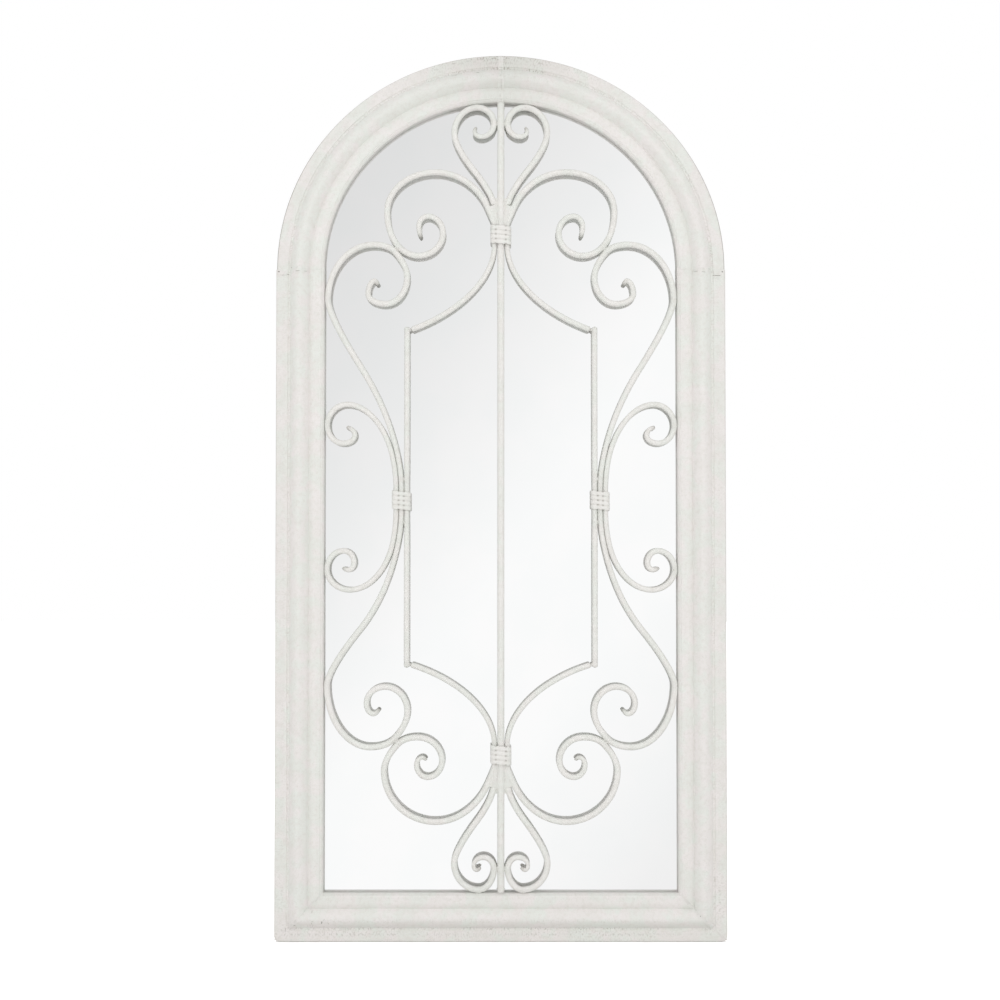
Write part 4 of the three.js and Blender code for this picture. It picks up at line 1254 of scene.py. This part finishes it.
# Scars in the paint: place, length, half width, heading and how dark.
SCARS = [
    (-251.0, 753.8, 2.0, 0.87, 0, 0.9),
    (-245.0, 749.9, 9.0, 0.34, 2, 0.4),
    (-240.6, 750.5, 2.7, 0.62, 0, 0.7),
    (-228.9, 753.7, 6.1, 0.46, 0, 0.7),
    (-220.4, 753.6, 3.4, 0.43, 0, 0.45),
    (-236.7, 758.3, 2.9, 0.81, 110, 0.35),
    (-230.2, 757.8, 2.9, 0.50, 20, 0.2),
    (250.7, 753.7, 2.0, 0.87, 0, 0.9),
    (243.8, 749.3, 9.5, 0.46, 0, 0.85),
    (243.8, 746.5, 8.6, 0.31, 0, 0.25),
    (238.7, 753.6, 2.0, 0.50, 0, 0.4),
    (235.9, 756.5, 3.6, 0.81, 0, 0.4),
    (228.9, 752.4, 5.2, 0.43, -5, 0.55),
    (220.1, 753.3, 4.3, 0.43, 0, 0.5),
    (-230.8, 21.9, 4.7, 0.62, 80, 0.8),
    (-232.1, 19.3, 5.6, 0.56, 5, 0.85),
    (-235.7, 19.2, 2.3, 0.56, 30, 0.8),
    (-238.2, 17.3, 2.0, 0.62, 20, 0.9),
    (-241.2, 13.5, 5.6, 0.50, 88, 0.5),
    (-243.7, 12.4, 5.0, 0.31, 90, 0.25),
    (-200.0, 23.0, 3.6, 0.74, 75, 1.0),
    (-197.4, 26.3, 2.7, 0.50, 60, 0.4),
    (-198.4, 17.0, 2.3, 0.43, 20, 0.4),
    (-192.7, 22.3, 3.2, 0.37, 120, 0.4),
    (-189.8, 26.4, 3.4, 0.43, 10, 0.25),
    (-210.2, 24.5, 2.3, 0.43, 20, 0.5),
    (-211.3, 21.9, 2.5, 0.37, 80, 0.4),
    (-215.8, 18.5, 3.8, 0.31, 88, 0.3),
    (-213.3, 19.0, 3.4, 0.37, 88, 0.4),
    (-210.4, 19.0, 3.4, 0.37, 70, 0.35),
    (-211.3, 34.5, 2.7, 0.43, 80, 0.45),
    (-219.8, 35.0, 2.7, 0.43, 80, 0.35),
    (-229.6, 0.5, 15.8, 0.37, 0, 0.56),
    (-212.8, 0.5, 13.5, 0.28, 0, 0.35),
    (-53.6, 990.7, 5.6, 0.43, 14, 0.55),
    (-37.2, 993.7, 5.0, 0.37, 9, 0.45),
    (-21.9, 995.5, 5.2, 0.37, 5, 0.5),
    (-9.4, 996.5, 2.9, 0.50, 2, 0.8),
    (-52.5, 976.8, 7.9, 0.37, 13, 0.5),
    (-26.2, 980.0, 4.3, 0.43, 5, 0.6),
]


def build_scars():
    """Flat lumps pressed onto the moulding's surface."""
    builder = Builder()
    for number, (x, z, length, width, heading, dark) in enumerate(SCARS):
        blob(builder, (x, z, heading), (length, width, 0.22), 1, number * 1.3, dark, 0, 2)
    for number, p in enumerate(builder.points):
        front = front_at(p.x * 1000, p.z * 1000 + HANG)
        builder.points[number] = inside_box(p - Vector((0, front / 1000, 0)))
    builder.make("paint_scars", FRAME_PAINT)


# ------------------------------------------------------------------ hangers and bumpers
RING_WIRE, PLATE, BEVEL = 1.5, 1.2, 0.25
PLATE_FRONT = WALL_GAP - SEAT
PLATE_BACK = PLATE_FRONT - PLATE
PLATE_CUTS = [(PLATE_BACK, BEVEL), (PLATE_BACK + BEVEL, 0)]
PLATE_CUTS += [(PLATE_FRONT - BEVEL, 0), (PLATE_FRONT, BEVEL)]
RING_DEPTH = PLATE_BACK - SEAT - RING_WIRE
RING_X = HALF - 30
RING_HALF, RING_DROP, RING_CORNER = 10 + RING_WIRE, 20, 3
ROLL_HALF, ROLL_TRIM = 4.5, 0.15


def hanger_plate(builder, side):
    """A flat plate with rounded corners and bevelled edges."""
    outer, inner = side * (HALF - 2), side * (HALF - 44)
    low_z, high_z = HANG - 4, HANG + 16
    corners = [(inner, low_z), (outer, low_z), (outer, high_z), (inner, high_z)]
    outline = rounded(corners[::side], [2.5] * 4, 6)
    centre = Vector(((outer + inner) / 2, (low_z + high_z) / 2))
    rings = []
    for depth, inset in PLATE_CUTS:
        places = []
        for p in outline:
            away = p - centre
            x = p.x - copysign(min(inset, abs(away.x)), away.x)
            z = p.y - copysign(min(inset, abs(away.y)), away.y)
            places.append(at(x, depth, z))
        rings.append(builder.ring(places))
    builder.loft(rings)


def rolled_edge(builder, side):
    """The plate's edge, rolled by 300 degrees around the ring's wire."""
    reach = RING_WIRE + SEAT
    flat = ROLL_HALF - ROLL_TRIM
    turns = [way(10 * i) for i in range(31)]
    rings = []
    for shift, trim in ((-ROLL_HALF, ROLL_TRIM), (-flat, 0), (flat, 0), (ROLL_HALF, ROLL_TRIM)):
        spots = [turn * (reach + PLATE - trim) for turn in turns]
        spots += [turn * (reach + trim) for turn in reversed(turns)]
        x = side * RING_X + shift
        rings.append(builder.ring([at(x, RING_DEPTH + s.x, HANG - s.y) for s in spots]))
    builder.loft(rings)


def ring_wire(builder, side):
    """A bent wire ring with rounded corners."""
    reach = RING_HALF - RING_CORNER
    top, bottom = HANG - RING_CORNER, HANG - RING_DROP + RING_CORNER
    corners = ((0, reach, top), (90, -reach, top), (180, -reach, bottom), (270, reach, bottom))
    rings = []
    for start, shift, z in corners:
        for k in range(9):
            turn = start + 90 * k / 8
            tangent = way(turn + 90)
            point = Vector((side * RING_X + shift, z)) + way(turn) * RING_CORNER
            places = []
            for j in range(16):
                w = way(360 * j / 16) * RING_WIRE
                x, height = point.x - tangent.y * w.x, point.y + tangent.x * w.x
                places.append(at(x, RING_DEPTH + w.y, height))
            rings.append(builder.ring(places))
    builder.loft(rings, endless=True)


def build_hangers():
    for name, side in SIDES.items():
        builder = Builder()
        hanger_plate(builder, side)
        rolled_edge(builder, side)
        builder.make(f"hanger_{name}", ZINC, f"hanger_plate_{name}")
        builder = Builder()
        ring_wire(builder, side)
        builder.make(f"ring_wire_{name}", ZINC, f"hanging_ring_{name}", body=f"ring_{name}")
        for level, rise in (("lower", 1), ("upper", 11)):
            centre = at(side * (HALF - REAR_FLANGE / 2), PLATE_BACK, HANG + rise)
            screw(f"plate_screw_{level}_{name}", centre, f"hanger_screw_{level}_{name}")


def build_bumpers():
    profile = [(2.6, 0.5), (2.8, 0.06), (3.2, 0), (4.9, 0), (5.45, 0.18), (5.8, 0.7)]
    profile += [(5.85, 3), (5.9, PLATE_FRONT - 0.3), (5.75, PLATE_FRONT)]
    upper, _ = on_arch(radians(40), REAR_FLANGE / 2 * ARCH_FACE / FACE)
    for name, side in SIDES.items():
        for level, x, z in (("lower", HALF - REAR_FLANGE / 2, 62), ("upper", upper.x, upper.y)):
            builder = Builder()
            centre = at(side * x, 0, z)
            builder.loft([circle(builder, centre, r, -depth, 40) for r, depth in profile])
            builder.make(f"rubber_foot_{level}_{name}", RUBBER, f"bumper_{level}_{name}")


build_frame()
build_seams()
build_panels()
build_clips()
build_rods()
build_welds()
build_collars()
build_scars()
build_hangers()
build_bumpers()

# ------------------------------------------------------------------ camera, floor and light
def look_from(place, tilt, lens):
    data = bpy.data.cameras.new("camera")
    data.lens = lens
    data.sensor_width = 36
    data.clip_start, data.clip_end = 0.05, 50
    camera = bpy.data.objects.new("camera", data)
    camera.location = place
    camera.rotation_euler = (pi / 2 + tilt, 0, 0)
    bpy.context.scene.collection.objects.link(camera)
    bpy.context.scene.camera = camera


def lamp(name, place, target, size, power):
    data = bpy.data.lights.new(name, "AREA")
    data.shape = "RECTANGLE"
    data.size, data.size_y = size
    data.energy = power
    made = bpy.data.objects.new(name, data)
    made.location = place
    made.rotation_euler = (Vector(target) - Vector(place)).to_track_quat("-Z", "Y").to_euler()
    made.visible_glossy = False
    bpy.context.scene.collection.objects.link(made)


def build_floor():
    mesh = bpy.data.meshes.new("floor")
    bm = bmesh.new()
    bmesh.ops.create_grid(bm, x_segments=12, y_segments=12, size=9)
    bmesh.ops.translate(bm, verts=bm.verts, vec=(0, 0, -HANG / 1000 - 0.0004))
    bm.to_mesh(mesh)
    bm.free()
    floor = bpy.data.objects.new("floor", mesh)
    bpy.context.scene.collection.objects.link(floor)
    floor.visible_glossy = False
    material, tree, shader, out = new_material("pale_floor")
    shader.inputs["Base Color"].default_value = colour(236, 236, 235)
    shader.inputs["Roughness"].default_value = 0.9
    shader.inputs["Specular IOR Level"].default_value = 0.1
    seen = node(tree, "ShaderNodeLightPath").outputs["Is Camera Ray"]
    glow = node(tree, "ShaderNodeEmission", {"Color": (1, 1, 1, 1)})
    tree.links.new(calc(tree, "MULTIPLY", seen, 0.6), glow.inputs["Strength"])
    both = node(tree, "ShaderNodeAddShader", {0: shader.outputs[0], 1: glow.outputs[0]})
    tree.links.new(both.outputs[0], out.inputs["Surface"])
    mesh.materials.append(material)


def build_world():
    """White to the eye; what polished surfaces mirror is a studio that falls off softly."""
    world = bpy.data.worlds.new("studio")
    bpy.context.scene.world = world
    world.use_nodes = True
    tree = world.node_tree
    tree.nodes.clear()
    path = node(tree, "ShaderNodeLightPath")
    way_out = node(tree, "ShaderNodeTexCoord").outputs["Generated"]
    split = node(tree, "ShaderNodeSeparateXYZ", {0: way_out})
    ahead = calc(tree, "MAXIMUM", calc(tree, "MULTIPLY", split.outputs[1], -1.0), 0.35)
    across_way = calc(tree, "DIVIDE", split.outputs[0], ahead)
    up_way = calc(tree, "DIVIDE", split.outputs[2], ahead)
    tone = calc(tree, "MULTIPLY_ADD", across_way, 119.7, 2.4)
    tone = calc(tree, "MULTIPLY_ADD", up_way, -85.8, tone)
    tone = calc(tree, "MULTIPLY_ADD", tone, 1 / 60, 0.5, clamp=True)
    fall = node(tree, "ShaderNodeValToRGB", {0: tone})
    stops = [(-30, 219), (-25, 222), (-16, 229.5), (-10, 236), (-5, 242), (0, 247.5), (3, 250)]
    stops += [(14, 250), (20, 246.5), (24, 244), (28, 239), (30, 238)]
    ramp_stops = fall.color_ramp.elements
    while len(ramp_stops) < len(stops):
        ramp_stops.new(0.5)
    for stop, (place, level) in zip(ramp_stops, stops):
        stop.position = (place + 30) / 60
        stop.color = (*[linear(level) / linear(251)] * 3, 1)

    def background(tone, strength):
        return node(tree, "ShaderNodeBackground", {"Color": tone, "Strength": strength}).outputs[0]

    def mix(share, a, b):
        return node(tree, "ShaderNodeMixShader", {0: share, 1: a, 2: b}).outputs[0]

    white = (1, 1, 1, 1)
    straight = [path.outputs[f"Is {kind} Ray"] for kind in ("Camera", "Transmission")]
    lit, mirrored = background(white, 0.82), background(fall.outputs[0], 1.0)
    first = mix(path.outputs["Is Glossy Ray"], lit, mirrored)
    second = mix(calc(tree, "MAXIMUM", *straight), first, background(white, 1.0))
    node(tree, "ShaderNodeOutputWorld", {"Surface": second})


look_from((-0.0009, -2.038, -0.25187), 0.028379, 64.314)
build_floor()
build_world()
lamp("front_softbox", (0, -3.2, 0.9), (0, 0, -0.15), (3.6, 2.6), 19.8)
lamp("left_softbox", (-2.6, -1.8, 0.2), (0, 0, -0.2), (1.6, 2.4), 4.2)
lamp("low_softbox", (0, -2.4, -0.45), (0, 0, -0.45), (3.0, 0.4), 4.2)
lamp("right_softbox", (2.6, -1.8, 0.2), (0, 0, -0.2), (1.6, 2.4), 4.2)
bpy.context.scene.view_settings.view_transform = "Standard"
